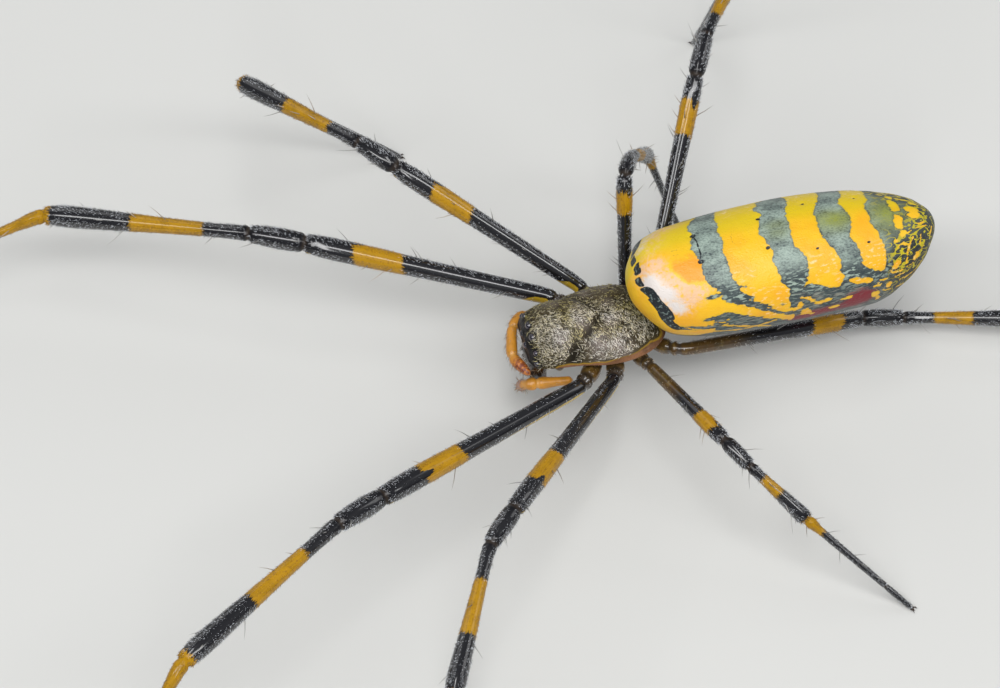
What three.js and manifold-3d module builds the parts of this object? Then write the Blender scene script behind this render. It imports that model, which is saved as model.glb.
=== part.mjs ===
// A female golden silk orb weaver, Trichonephila clavata, life size and standing on its eight feet.
// Millimetres. The spider faces -Y, +X is its left side, +Z is up, and the feet stand on Z = 0.
import * as THREE from 'three';
import { mergeVertices } from 'three/addons/utils/BufferGeometryUtils.js';
import Module from 'manifold-3d';

const wasm = await Module();
wasm.setup();

// Driving dimensions
const GAP = 0.3;                   // between a part and the part that it grows from
const EYE_GAP = 0.08;              // round an eye in its socket
const RIM_Z = 7.4;                 // the carapace's rim over the floor
const CARAPACE_FRONT = -7.8;
const CARAPACE_HALF_WIDTH = 2.65;
const CARAPACE_HEIGHT = 2.0;       // from the rim to the top of the head
const RIM_DEPTH = 0.2;             // the carapace below its rim
const ABDOMEN_START = -1.8;        // the abdomen overhangs the carapace
const ABDOMEN_LENGTH = 18.15;
const ABDOMEN_HALF_WIDTH = 3.71;
const ABDOMEN_AXIS_Z = 10.0;
const ABDOMEN_UP = 0.94;           // the back's height as a share of the half width
const ABDOMEN_DOWN = 0.86;         // the belly is flatter
const LEG_SIDES = 10;
const SPINE_ROOT = 0.26;           // a leg spine's radius at its root, inside the leg
const SPINE_LEAN = 50;             // degrees between a spine and its leg
const SPINE_START = 62;            // degrees round the leg from its top to the first spine
const SPINE_TURN = 137;            // degrees round the leg from one spine to the next
const LEG_CORNER = 0.85;           // how far a bend reaches along the segments that meet in it
const PALP_CORNER = 0.5;
const MIDDLE_EYE = 0.25;           // radii of the eyes
const SIDE_EYE = 0.18;
const EYE_SUNK = 0.35;             // how deep an eye sits, as a share of its radius

const rad = THREE.MathUtils.degToRad;
const vec = (x, y, z) => new THREE.Vector3(x, y, z);

// Smooth value at t through a few [t, value] stations
function smooth(stations, t) {
  const last = stations.length - 1;
  if (t <= stations[0][0]) return stations[0][1];
  if (t >= stations[last][0]) return stations[last][1];
  const i = stations.findIndex((s) => s[0] > t) - 1;
  const slope = (k) => {
    const a = stations[Math.max(k - 1, 0)];
    const b = stations[Math.min(k + 1, last)];
    return (b[1] - a[1]) / (b[0] - a[0]);
  };
  const [t0, v0] = stations[i];
  const [t1, v1] = stations[i + 1];
  const h = t1 - t0;
  const u = (t - t0) / h;
  const u2 = u * u;
  const u3 = u2 * u;
  return v0 * (2 * u3 - 3 * u2 + 1) + slope(i) * h * (u3 - 2 * u2 + u)
    + v1 * (3 * u2 - 2 * u3) + slope(i + 1) * h * (u3 - u2);
}

// A closed solid from a geometry whose shared corners are merged
function solidOf(geometry) {
  const bare = geometry.clone();
  bare.deleteAttribute('normal');
  bare.deleteAttribute('uv');
  const merged = mergeVertices(bare, 1e-4);
  const source = merged.index.array;
  const triangles = [];
  for (let i = 0; i < source.length; i += 3) {
    const [a, b, c] = [source[i], source[i + 1], source[i + 2]];
    if (a !== b && b !== c && c !== a) triangles.push(a, b, c);
  }
  const build = (order) => new wasm.Manifold(new wasm.Mesh({
    numProp: 3,
    vertProperties: new Float32Array(merged.attributes.position.array),
    triVerts: new Uint32Array(order),
  }));
  const solid = build(triangles);
  if (solid.volume() > 0) return solid;
  const turned = [];
  for (let i = 0; i < triangles.length; i += 3) {
    turned.push(triangles[i], triangles[i + 2], triangles[i + 1]);
  }
  return build(turned);
}

// The largest closed surface of a solid
function largest(solid) {
  return solid.decompose().reduce((a, b) => (b.volume() > a.volume() ? b : a));
}

function geometryOf(solid) {
  const { vertProperties, triVerts } = largest(solid).getMesh();
  const geometry = new THREE.BufferGeometry();
  geometry.setAttribute('position', new THREE.BufferAttribute(vertProperties, 3));
  geometry.setIndex(new THREE.BufferAttribute(triVerts, 1));
  geometry.computeVertexNormals();
  return geometry;
}

// A skin of rings, closed by a point at each end. place(ring, angle) gives a ring's corner, and the
// two ends are place(0, null) and place(rings - 1, null).
function ringSkin(rings, sides, place) {
  const profile = [new THREE.Vector2(0, 0)];
  for (let i = 0; i < rings; i += 1) profile.push(new THREE.Vector2(1, i + 1));
  profile.push(new THREE.Vector2(0, rings + 1));
  const geometry = new THREE.LatheGeometry(profile, sides);
  const position = geometry.attributes.position;
  for (let i = 0; i < position.count; i += 1) {
    const row = Math.round(position.getY(i));
    const ring = THREE.MathUtils.clamp(row - 1, 0, rings - 1);
    const step = Math.round(Math.atan2(position.getX(i), position.getZ(i)) / (2 * Math.PI / sides));
    const end = row === 0 || row === rings + 1;
    const point = place(ring, end ? null : (step % sides) * 2 * Math.PI / sides);
    position.setXYZ(i, point.x, point.y, point.z);
  }
  return solidOf(geometry);
}

// Carapace: the shield over the head and thorax, with its sockets for the eyes
const CARAPACE_WIDTHS = [
  [-7.8, 0.5], [-7.6, 0.62], [-7.2, 0.73], [-6.4, 0.8], [-5.2, 0.85], [-4.4, 0.91], [-3.6, 0.98],
  [-2.9, 1], [-2.1, 0.985], [-1.3, 0.92], [-0.6, 0.8], [-0.15, 0.66], [0.1, 0.54], [0.25, 0.4],
];
const CARAPACE_HEIGHTS = [
  [-7.8, 0.3], [-7.68, 0.42], [-7.5, 0.52], [-7.2, 0.68], [-6.6, 0.88], [-5.9, 0.96], [-5.0, 0.95],
  [-4.3, 0.84], [-3.5, 0.8], [-2.7, 0.74], [-1.9, 0.62], [-1.1, 0.44], [-0.5, 0.27], [-0.1, 0.13],
  [0.25, 0.03],
];
const CARAPACE_RINGS = [
  -7.8, -7.72, -7.6, -7.42, -7.15, -6.75, -6.25, -5.7, -5.2, -4.75, -4.4, -4.0, -3.6, -3.2, -2.7, -2.1,
  -1.5, -0.95, -0.5, -0.12, 0.12, 0.25,
];
const CARAPACE_ROUND = 1.02;       // 1 is a plain ellipse, more is fuller at the sides

function carapaceHeight(x, y) {
  const half = CARAPACE_HALF_WIDTH * smooth(CARAPACE_WIDTHS, y);
  const share = Math.min(Math.abs(x) / half, 1);
  const dome = (1 - share ** (2 * CARAPACE_ROUND)) ** (0.5 / CARAPACE_ROUND);
  const groove = Math.exp(-(((y + 3.9 + 0.85 * Math.abs(x)) / 0.36) ** 2)) * Math.min(Math.abs(x), 1);
  const pit = Math.exp(-((x / 0.35) ** 2) - (((y + 3.1) / 0.5) ** 2));
  return CARAPACE_HEIGHT * smooth(CARAPACE_HEIGHTS, y) * dome - (0.2 * groove + 0.22 * pit) * dome;
}

function carapaceSolid(sides = 24) {
  return ringSkin(CARAPACE_RINGS.length, sides, (ring, angle) => {
    const y = CARAPACE_RINGS[ring];
    if (angle === null) return vec(0, y, RIM_Z - RIM_DEPTH / 4);
    const x = CARAPACE_HALF_WIDTH * smooth(CARAPACE_WIDTHS, y) * Math.sin(angle);
    const low = -RIM_DEPTH * Math.sqrt(Math.abs(Math.cos(angle)));
    return vec(x, y, RIM_Z + (Math.cos(angle) >= 0 ? carapaceHeight(x, y) : low));
  });
}

// The point where a line from inside the head leaves the carapace
const HEAD_CENTRE = vec(0, -6.2, RIM_Z + 0.8);
function headSurface(direction) {
  const inside = (p) => p.y > CARAPACE_FRONT && p.z - RIM_Z < carapaceHeight(p.x, p.y)
    && Math.abs(p.x) < CARAPACE_HALF_WIDTH * smooth(CARAPACE_WIDTHS, p.y);
  let [near, far] = [0, 3];
  for (let i = 0; i < 24; i += 1) {
    const middle = (near + far) / 2;
    if (inside(HEAD_CENTRE.clone().addScaledVector(direction, middle))) near = middle;
    else far = middle;
  }
  return HEAD_CENTRE.clone().addScaledVector(direction, near);
}

// Each eye's radius and its direction from the head's centre, for the left side
const EYES = {
  front_middle: { radius: MIDDLE_EYE, direction: [0.4, -1.54, -0.42] },
  rear_middle: { radius: MIDDLE_EYE, direction: [0.44, -1.26, 0.24] },
  front_side: { radius: SIDE_EYE, direction: [1.62, -1.2, -0.58] },
  rear_side: { radius: SIDE_EYE, direction: [1.32, -1.22, -0.1] },
};

// An eye, and the round pit that it sits in
function eyeSolids({ radius, direction: [x, y, z] }, side) {
  const direction = vec(x * side, y, z).normalize();
  const centre = headSurface(direction).addScaledVector(direction, -EYE_SUNK * radius);
  const ball = new THREE.SphereGeometry(radius, 8, 6);
  const wide = radius + EYE_GAP;
  const pit = new THREE.CylinderGeometry(1.06 * wide, wide, 3 * wide, 7);
  pit.translate(0, wide / 2, 0);
  const turn = new THREE.Quaternion().setFromUnitVectors(vec(0, 1, 0), direction);
  return [ball, pit].map((geometry) => {
    geometry.applyQuaternion(turn);
    geometry.translate(centre.x, centre.y, centre.z);
    return solidOf(geometry);
  });
}

// Abdomen: stations along its length, each with its half width and the rise of its axis
const ABDOMEN_SHAPE = [
  [0, 0, 0.85], [0.03, 0.46, 0.8], [0.06, 0.65, 0.73], [0.1, 0.79, 0.38], [0.145, 0.87, 0.28],
  [0.19, 0.91, 0.16], [0.25, 0.95, 0.12], [0.32, 0.975, 0.08], [0.43, 0.995, 0.08], [0.52, 1, 0.08],
  [0.6, 0.99, 0], [0.69, 0.965, -0.1], [0.77, 0.925, -0.24], [0.815, 0.865, -0.2], [0.855, 0.78, -0.04],
  [0.9, 0.665, 0.18], [0.94, 0.52, 0.45], [0.978, 0.3, 0.78], [1, 0, 0.95],
];
const ABDOMEN_WIDTHS = ABDOMEN_SHAPE.map(([t, w]) => [t, w]);
const ABDOMEN_RISES = ABDOMEN_SHAPE.map(([t, , rise]) => [t, rise]);
const ABDOMEN_RINGS = 28;

// Swollen by `extra` all round, the abdomen also cuts its neighbours clear of itself
function abdomenSolid(extra = 0, sides = 26) {
  return ringSkin(ABDOMEN_RINGS, sides, (ring, angle) => {
    const share = (1 - Math.cos(Math.PI * (ring + 0.55) / (ABDOMEN_RINGS + 0.1))) / 2;
    const end = ring === 0 ? 0 : 1;
    const t = angle === null ? end : share;
    const middle = ABDOMEN_START + ABDOMEN_LENGTH / 2;
    const y = middle + (t - 0.5) * (ABDOMEN_LENGTH + 2 * extra);
    const z = ABDOMEN_AXIS_Z + smooth(ABDOMEN_RISES, t);
    if (angle === null) return vec(0, y, z);
    const half = ABDOMEN_HALF_WIDTH * smooth(ABDOMEN_WIDTHS, t) + extra;
    const tall = Math.cos(angle) > 0 ? ABDOMEN_UP : ABDOMEN_DOWN;
    return vec(half * Math.sin(angle), y, z + half * tall * Math.cos(angle));
  });
}

// Sternum: the shield between the legs, with the small lip at its front
const STERNUM = { half: 1.35, front: -5.0, rear: -0.65, low: 5.15, high: 6.9 };

function sternumSolid(extra = 0) {
  const rings = 12;
  const outline = [[0, 0.35], [0.12, 0.72], [0.3, 0.96], [0.45, 1], [0.62, 0.85], [0.8, 0.55], [1, 0.2]];
  const middle = (STERNUM.low + STERNUM.high) / 2;
  const tall = (STERNUM.high - STERNUM.low) / 2 + extra;
  return ringSkin(rings, 16, (ring, angle) => {
    const t = ring / (rings - 1);
    const y = STERNUM.front - extra + t * (STERNUM.rear - STERNUM.front + 2 * extra);
    if (angle === null) return vec(0, y, middle);
    const half = STERNUM.half * smooth(outline, t) + extra;
    const z = Math.cos(angle);
    const round = 0.7 + 0.3 * Math.min(1, 6 * t, 6 * (1 - t));
    return vec(half * Math.sin(angle), y, middle + tall * round * Math.sign(z) * Math.abs(z) ** 0.7);
  });
}

function lipSolid() {
  const geometry = new THREE.SphereGeometry(1, 10, 8);
  geometry.scale(0.42, 0.34, 0.55);
  geometry.translate(0, STERNUM.front + 0.05, 5.75);
  return solidOf(geometry);
}

// A path of straight runs joined by round corners, and the distance along it to each joint
const MOST_OF_HALF = 0.42;         // of a segment's length, for the bend at either end
function jointedPath(points, corner) {
  const path = new THREE.CurvePath();
  const joints = [0];
  let from = points[0];
  let length = 0;
  for (let i = 1; i < points.length; i += 1) {
    const here = points[i];
    if (i === points.length - 1) {
      length += here.distanceTo(from);
      path.add(new THREE.LineCurve3(from, here));
      break;
    }
    const [before, after] = [points[i - 1], points[i + 1]];
    const shorter = Math.min(here.distanceTo(before), here.distanceTo(after));
    const reach = Math.min(corner, MOST_OF_HALF * shorter);
    const enter = here.clone().add(before.clone().sub(here).setLength(reach));
    const leave = here.clone().add(after.clone().sub(here).setLength(reach));
    const bend = new THREE.QuadraticBezierCurve3(enter, here, leave);
    path.add(new THREE.LineCurve3(from, enter));
    path.add(bend);
    length += enter.distanceTo(from);
    joints.push(length + bend.getLength() / 2);
    length += bend.getLength();
    from = leave;
  }
  joints.push(length);
  return { path, joints, length };
}

// The radii of a limb, from each segment's [share of its length, radius] stations
function limbRadii(joints, segments) {
  return segments.flatMap((stations, i) => stations.map(
    ([share, radius]) => [joints[i] + share * (joints[i + 1] - joints[i]), radius],
  ));
}

// A round limb along a path between two distances, with flat ends and a ring at every station
function limbSolid(limb, radii, start, end, sides = LEG_SIDES) {
  const inner = radii.map(([s]) => s).filter((s) => s > start + 0.12 && s < end - 0.12);
  const distances = [start, ...inner, end];
  const frames = [];
  const steep = Math.abs(limb.path.getTangentAt(0).z) > 0.9;
  let across = steep ? vec(0, 1, 0) : vec(0, 0, 1);
  distances.forEach((s) => {
    const u = THREE.MathUtils.clamp(s / limb.length, 0, 1);
    const tangent = limb.path.getTangentAt(u).normalize();
    across = across.clone().addScaledVector(tangent, -across.dot(tangent)).normalize();
    const centre = limb.path.getPointAt(u).addScaledVector(tangent, s - u * limb.length);
    frames.push({ centre, across, along: tangent, over: across.clone().cross(tangent) });
  });
  return ringSkin(distances.length, sides, (ring, angle) => {
    const { centre, across: up, over } = frames[ring];
    if (angle === null) return centre.clone();
    const radius = smooth(radii, distances[ring]);
    return centre.clone().addScaledVector(up, radius * Math.cos(angle))
      .addScaledVector(over, radius * Math.sin(angle));
  });
}

// A leg spine: a slim cone whose root is sunk to the leg's axis
function spineSolid(limb, radii, distance, angle, bare) {
  const u = distance / limb.length;
  const centre = limb.path.getPointAt(u);
  const tangent = limb.path.getTangentAt(u).normalize();
  const up = vec(0, 0, 1).addScaledVector(tangent, -tangent.z).normalize();
  const out = up.clone().multiplyScalar(Math.cos(angle))
    .addScaledVector(up.clone().cross(tangent), Math.sin(angle));
  const lean = rad(SPINE_LEAN);
  const direction = tangent.clone().multiplyScalar(Math.cos(lean)).addScaledVector(out, Math.sin(lean));
  const height = smooth(radii, distance) / Math.sin(lean) + bare;
  const geometry = new THREE.ConeGeometry(SPINE_ROOT, height, 5);
  geometry.translate(0, height / 2, 0);
  geometry.applyQuaternion(new THREE.Quaternion().setFromUnitVectors(vec(0, 1, 0), direction));
  geometry.translate(centre.x, centre.y, centre.z);
  return solidOf(geometry);
}

// Legs. `lengths` are femur, patella, tibia, metatarsus and tarsus. `hip` is the radius of the coxa,
// `girth` that of the femur and `slim` that of the metatarsus. `turns` holds the heading and the rise
// in degrees of femur, patella and tibia; the foot has a heading and reaches down to the floor.
// `swing` moves the femur's base from its place for a hip that is swung back or lifted.
const LEG_SIZES = {
  1: {
    root: [1.3, -3.85], base: [3.1, -5.1], lengths: [14.8, 3.3, 12.4, 14.5, 3.2],
    hip: 0.68, girth: 0.68, slim: 0.31,
  },
  2: {
    root: [1.3, -2.75], base: [3.1, -3.2], lengths: [13.2, 2.6, 9.6, 11.5, 2.8],
    hip: 0.67, girth: 0.62, slim: 0.3,
  },
  3: {
    root: [1.2, -1.65], base: [2.75, -1.1], lengths: [7.0, 2.1, 4.6, 6.0, 2.0],
    hip: 0.55, girth: 0.5, slim: 0.25,
  },
  4: {
    root: [0.82, -0.42], base: [1.95, 0.95], lengths: [12.2, 2.7, 7.8, 10.4, 2.5],
    hip: 0.58, girth: 0.56, slim: 0.28,
  },
};
const ROOT_Z = 5.95;
const BASE_Z = 6.6;
const LEG_POSES = {
  left_1: { turns: [[-65.5, 9.6], [-62.4, 11.2], [-56.7, 1.7]], foot: -49.6 },
  left_2: { turns: [[-41.6, 16.6], [-45.9, -2.9], [-26.9, -6.0]], foot: -0.7 },
  left_3: { turns: [[22.2, 6.2], [28.8, -10.0], [45.4, -34.7]], foot: 47.1 },
  left_4: { turns: [[99.2, -17.1], [89.2, -18.0], [72.5, 3.5]], foot: 80, swing: [0.2, -0.15, 0] },
  right_1: { turns: [[-110.6, 12.8], [-118.9, -4.0], [-116.8, -8.6]], foot: -95.1 },
  right_2: { turns: [[-125.2, 28.7], [-141.6, 3.5], [-144.7, -13.6]], foot: 89.5, swing: [0.1, -0.15, 0.1] },
  right_3: { turns: [[166.6, 55.2], [152.7, -22.7], [144.3, -52.3]], foot: 73.8 },
  right_4: { turns: [[151.0, 35.8], [152.4, 8.0], [147, -14]], foot: -151, swing: [0.55, -0.5, 0.3] },
};
const FLOOR_SINK = 0.35;           // how far a foot is drawn below the floor before it is cut flat
const COXA = [[0, 0.66], [0.25, 0.8], [0.5, 0.86], [0.68, 0.76], [0.75, 0.68], [0.86, 0.8], [0.97, 0.74]];
const FEMUR = [
  [0.02, 0.74], [0.09, 0.8], [0.3, 0.84], [0.55, 0.9], [0.78, 1], [0.91, 1], [0.98, 0.88],
];
const PATELLA = [[0.06, 0.86], [0.25, 0.96], [0.6, 0.95], [0.88, 0.84]];
const TIBIA = [
  [0.015, 0.72], [0.06, 0.7], [0.2, 0.66], [0.45, 0.76], [0.7, 0.92], [0.88, 1], [0.97, 0.86],
];
const METATARSUS = [[0.015, 1.5], [0.06, 1.42], [0.14, 1.12], [0.4, 1.0], [0.75, 0.92], [0.97, 0.86]];
const TARSUS = [[0.05, 0.84], [0.3, 0.88], [0.7, 0.8], [1, 0.7]];
const SPINES = {
  femur: { shares: [0.2, 0.37, 0.53, 0.67, 0.84], bare: 1.25 },
  tibia: { shares: [0.16, 0.34, 0.52, 0.7, 0.86], bare: 1.25 },
  foot: { shares: [0.14, 0.3, 0.47], bare: 0.95 },
};

function heading(yaw, rise) {
  return vec(Math.cos(rad(yaw)) * Math.cos(rad(rise)), Math.sin(rad(yaw)) * Math.cos(rad(rise)),
    Math.sin(rad(rise)));
}

function legLimb(name) {
  const size = LEG_SIZES[name.at(-1)];
  const pose = LEG_POSES[name];
  const side = name.startsWith('left') ? 1 : -1;
  const [swingX, swingY, swingZ] = pose.swing ?? [0, 0, 0];
  const points = [
    vec(size.root[0] * side, size.root[1], ROOT_Z),
    vec((size.base[0] + swingX) * side, size.base[1] + swingY, BASE_Z + swingZ),
  ];
  pose.turns.forEach(([yaw, rise], i) => {
    points.push(points.at(-1).clone().addScaledVector(heading(yaw, rise), size.lengths[i]));
  });
  const ankle = points.at(-1);
  const reach = size.lengths[3] + size.lengths[4];
  const drop = Math.asin(ankle.z / reach);
  const down = heading(pose.foot, -THREE.MathUtils.radToDeg(drop));
  points.push(ankle.clone().addScaledVector(down, reach + FLOOR_SINK / Math.sin(drop)));
  const limb = jointedPath(points, LEG_CORNER);
  const foot = limb.joints[4] + (limb.length - limb.joints[4]) * size.lengths[3] / reach;
  limb.joints = [...limb.joints.slice(0, 5), foot, limb.length];
  const scaled = (stations, radius) => stations.map(([share, k]) => [share, k * radius]);
  const { hip, girth, slim } = size;
  const radii = limbRadii(limb.joints, [
    scaled(COXA, hip), scaled(FEMUR, girth), scaled(PATELLA, girth), scaled(TIBIA, girth),
    scaled(METATARSUS, slim), scaled(TARSUS, slim),
  ]);
  return { limb, radii, size };
}

const sternumRoom = sternumSolid(GAP);
const abdomenRoom = abdomenSolid(GAP);

function floorBlock() {
  const geometry = new THREE.BoxGeometry(200, 200, 10);
  geometry.translate(0, 0, -5);
  return solidOf(geometry);
}

function seededRandom(seed) {
  let state = seed;
  return () => {
    state = (state * 1664525 + 1013904223) % 4294967296;
    return state / 4294967296;
  };
}

// The four pieces of a leg: hip, femur, knee with tibia, and foot
function legSolids(name, seed) {
  const { limb, radii, size } = legLimb(name);
  const random = seededRandom(seed);
  const [, hip, knee, , ankle] = limb.joints;
  const runs = {
    hip: [limb.joints[0], hip - GAP / 2],
    femur: [hip + GAP / 2, knee - GAP / 2],
    tibia: [knee + GAP / 2, ankle - GAP / 2],
    foot: [ankle + GAP / 2, limb.length],
  };
  const pieces = {};
  Object.entries(runs).forEach(([part, [start, end]]) => {
    let solid = limbSolid(limb, radii, start, end, part === 'foot' || part === 'hip' ? 8 : LEG_SIDES);
    const { shares, bare } = SPINES[part] ?? { shares: [], bare: 0 };
    shares.forEach((share, i) => {
      const jitter = (random() - 0.5) * 0.05;
      const angle = rad(SPINE_START + i * SPINE_TURN) + (random() - 0.5) * 0.6;
      const thick = size.girth / LEG_SIZES[1].girth;
      const length = bare * (0.8 + 0.4 * random()) * (0.55 + 0.45 * thick);
      const distance = start + (share + jitter) * (end - start);
      solid = solid.add(spineSolid(limb, radii, distance, angle, length));
    });
    pieces[part] = solid;
  });
  pieces.hip = pieces.hip.subtract(sternumRoom);
  pieces.foot = pieces.foot.subtract(floorBlock());
  return pieces;
}

// Chelicerae, fangs and mouth plates, drawn on the left and mirrored
const mirrored = (points, side) => points.map(([x, y, z]) => vec(x * side, y, z));

function simpleLimb(points, stations, sides, corner = 0.6) {
  const limb = jointedPath(points, corner);
  const radii = stations.map(([share, radius]) => [share * limb.length, radius]);
  return limbSolid(limb, radii, 0, limb.length, sides);
}

function cheliceraSolid(side) {
  const points = mirrored([[0.7, -7.1, 6.9], [0.72, -7.2, 5.8], [0.66, -7.05, 4.35]], side);
  const radii = [[0, 0.46], [0.12, 0.53], [0.4, 0.56], [0.75, 0.5], [0.93, 0.42], [1, 0.34]];
  return simpleLimb(points, radii, 12);
}

function fangSolid(side) {
  const points = mirrored([[0.72, -7.0, 4.02], [0.72, -6.85, 3.55], [0.3, -6.35, 3.6]], side);
  return simpleLimb(points, [[0, 0.26], [0.25, 0.26], [0.5, 0.24], [0.8, 0.15], [1, 0.07]], 8, 0.4);
}

function mouthPlateSolid(side) {
  const geometry = new THREE.SphereGeometry(1, 12, 8);
  geometry.scale(0.5, 0.38, 0.85);
  geometry.translate(0.72 * side, -5.9, 5.95);
  return solidOf(geometry).subtract(sternumRoom);
}

// Palps: the short feelers beside the mouth
const PALPS = {
  left: [
    [1.79, -5.36, 5.3], [1.62, -7.43, 5.47], [1.53, -8.15, 5.5], [0.68, -8.07, 4.16], [-0.33, -7.88, 2.56],
  ],
  right: [
    [-1.5, -5.65, 5.2], [-2.5, -7.1, 6.6], [-1.61, -8.11, 6.85], [0.23, -8.58, 6.6], [1.68, -7.87, 6.6],
  ],
};
const PALP_SEGMENTS = [
  [[0, 0.24], [0.15, 0.28], [0.45, 0.3], [0.8, 0.38], [0.95, 0.37]],
  [[0.08, 0.36], [0.4, 0.4], [0.85, 0.36]],
  [[0.05, 0.32], [0.4, 0.34], [0.8, 0.36], [0.95, 0.34]],
  [[0.05, 0.33], [0.3, 0.37], [0.6, 0.33], [0.85, 0.25], [1, 0.15]],
];

function palpSolids(side) {
  const limb = jointedPath(PALPS[side].map(([x, y, z]) => vec(x, y, z)), PALP_CORNER);
  const radii = limbRadii(limb.joints, PALP_SEGMENTS);
  const knee = limb.joints[1];
  return {
    femur: limbSolid(limb, radii, 0, knee - GAP / 2),
    tip: limbSolid(limb, radii, knee + GAP / 2, limb.length),
  };
}

// Pedicel: the waist between the sternum and the front of the belly
function pedicelSolid() {
  const points = [vec(0, -0.3, 6.55), vec(0, 0.55, 6.7), vec(0, 1.7, 7.75)];
  return simpleLimb(points, [[0, 0.26], [0.35, 0.28], [0.7, 0.34], [1, 0.4]], 10).subtract(abdomenRoom);
}

// Spinnerets: a low ring under the belly with three pairs of teats
const SPINNERET_Y = 11.7;
const TEATS = [[0.4, -0.32, 0.3, 1.25], [0.24, 0.05, 0.22, 0.9], [0.42, 0.42, 0.3, 1.15]];

function spinneretSolid() {
  const base = vec(0, SPINNERET_Y, 7.15);
  let solid = simpleLimb([base.clone().add(vec(0, 0, 0.9)), base, vec(0, SPINNERET_Y, 6.75)],
    [[0, 1.05], [0.6, 1.05], [0.85, 0.98], [1, 0.8]], 16, 0.2);
  TEATS.forEach(([x, y, radius, length]) => {
    [1, -1].forEach((side) => {
      const root = base.clone().add(vec(x * side, y, 0));
      const tip = root.clone().add(vec(-0.12 * side, 0.25, -length));
      const teat = simpleLimb([root, root.clone().lerp(tip, 0.5), tip],
        [[0, radius], [0.5, radius], [0.85, radius * 0.85], [1, radius * 0.5]], 6, 0.2);
      solid = solid.add(teat);
    });
  });
  return solid.subtract(abdomenRoom);
}

// Finishes
const finish = (color, roughness) => new THREE.MeshStandardMaterial({ color, roughness, metalness: 0 });
const FINISHES = {
  carapace: finish(0x8c8060, 0.75),
  abdomen: finish(0xe0b417, 0.4),
  legs: finish(0x16161a, 0.3),
  hips: finish(0x5a3a1c, 0.35),
  palps: finish(0xc8661a, 0.5),
  underside: finish(0x2a2018, 0.45),
  jaws: finish(0x100d0c, 0.25),
  eyes: finish(0x08080a, 0.1),
};

const spider = new THREE.Group();

function addPiece(name, solid, material) {
  const mesh = new THREE.Mesh(geometryOf(solid), material);
  mesh.name = name;
  spider.add(mesh);
}

function buildBody() {
  let carapace = carapaceSolid();
  Object.entries(EYES).forEach(([place, eye]) => {
    [['left', 1], ['right', -1]].forEach(([name, side]) => {
      const [ball, pit] = eyeSolids(eye, side);
      carapace = carapace.subtract(pit);
      addPiece(`eye_${place}_${name}`, ball, FINISHES.eyes);
    });
  });
  addPiece('carapace', carapace, FINISHES.carapace);
  addPiece('sternum', sternumSolid().add(lipSolid()), FINISHES.underside);
  addPiece('pedicel', pedicelSolid(), FINISHES.hips);
  addPiece('abdomen', abdomenSolid(), FINISHES.abdomen);
  addPiece('spinnerets', spinneretSolid(), FINISHES.underside);
}

function buildMouth() {
  [['left', 1], ['right', -1]].forEach(([name, side]) => {
    const palp = palpSolids(name);
    addPiece(`chelicera_${name}`, cheliceraSolid(side), FINISHES.jaws);
    addPiece(`fang_${name}`, fangSolid(side), FINISHES.jaws);
    addPiece(`mouth_plate_${name}`, mouthPlateSolid(side), FINISHES.underside);
    addPiece(`palp_${name}_femur`, palp.femur, FINISHES.palps);
    addPiece(`palp_${name}_tip`, palp.tip, FINISHES.palps);
  });
}

function buildLegs() {
  Object.keys(LEG_POSES).forEach((name, i) => {
    const pieces = legSolids(name, 101 + i);
    Object.entries(pieces).forEach(([part, solid]) => {
      addPiece(`leg_${name}_${part}`, solid, part === 'hip' ? FINISHES.hips : FINISHES.legs);
    });
  });
}

buildBody();
buildMouth();
buildLegs();

// The origin is on the floor under the middle of the box round the whole spider
const box = new THREE.Box3().setFromObject(spider);
const middle = box.getCenter(new THREE.Vector3());
spider.position.set(-middle.x, -middle.y, 0);

export default spider;
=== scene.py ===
import math

import bpy
import numpy as np
from mathutils import Matrix, Vector


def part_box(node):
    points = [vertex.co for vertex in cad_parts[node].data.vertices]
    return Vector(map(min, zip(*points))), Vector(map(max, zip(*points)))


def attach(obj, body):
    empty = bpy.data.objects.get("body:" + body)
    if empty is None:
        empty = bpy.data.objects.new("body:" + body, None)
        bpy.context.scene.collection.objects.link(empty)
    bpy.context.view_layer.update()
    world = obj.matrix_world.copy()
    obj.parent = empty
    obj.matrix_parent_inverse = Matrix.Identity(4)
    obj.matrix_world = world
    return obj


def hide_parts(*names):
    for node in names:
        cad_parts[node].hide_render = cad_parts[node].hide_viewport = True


bl_info = {
    "name": "Golden Silk Orb Weaver",
    "version": (1, 0, 0),
    "blender": (4, 5, 0),
    "location": "3D View > Sidebar > Spider",
    "description": "Dresses a life-size female golden silk orb weaver: skins, markings, coat, eyes and claws",
    "category": "Add Mesh",
}

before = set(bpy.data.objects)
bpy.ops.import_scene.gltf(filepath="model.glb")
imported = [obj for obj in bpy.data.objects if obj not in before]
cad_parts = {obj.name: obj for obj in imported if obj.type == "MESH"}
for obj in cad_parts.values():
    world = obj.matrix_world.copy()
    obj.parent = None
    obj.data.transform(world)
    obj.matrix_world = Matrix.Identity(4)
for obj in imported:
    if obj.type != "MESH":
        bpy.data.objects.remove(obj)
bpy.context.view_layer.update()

# Shapes are worked out in millimetres, with the spider facing -Y, its left side at +X, and its waist at
# x = 0, y = 0, just ahead of the carapace's rear end. ORIGIN is where that point lies in the frame.
MM = 0.001
CARAPACE_REAR = 0.25
CARAPACE_LOW, CARAPACE_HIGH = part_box("carapace")
ORIGIN = Vector(((CARAPACE_LOW.x + CARAPACE_HIGH.x) / 2, CARAPACE_HIGH.y - CARAPACE_REAR * MM, 0.0))

RIM_Z = 7.4
CARAPACE_FRONT = -7.8
CARAPACE_HALF_WIDTH = 2.65
CARAPACE_HEIGHT = 2.0
RIM_DEPTH = 0.2
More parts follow.
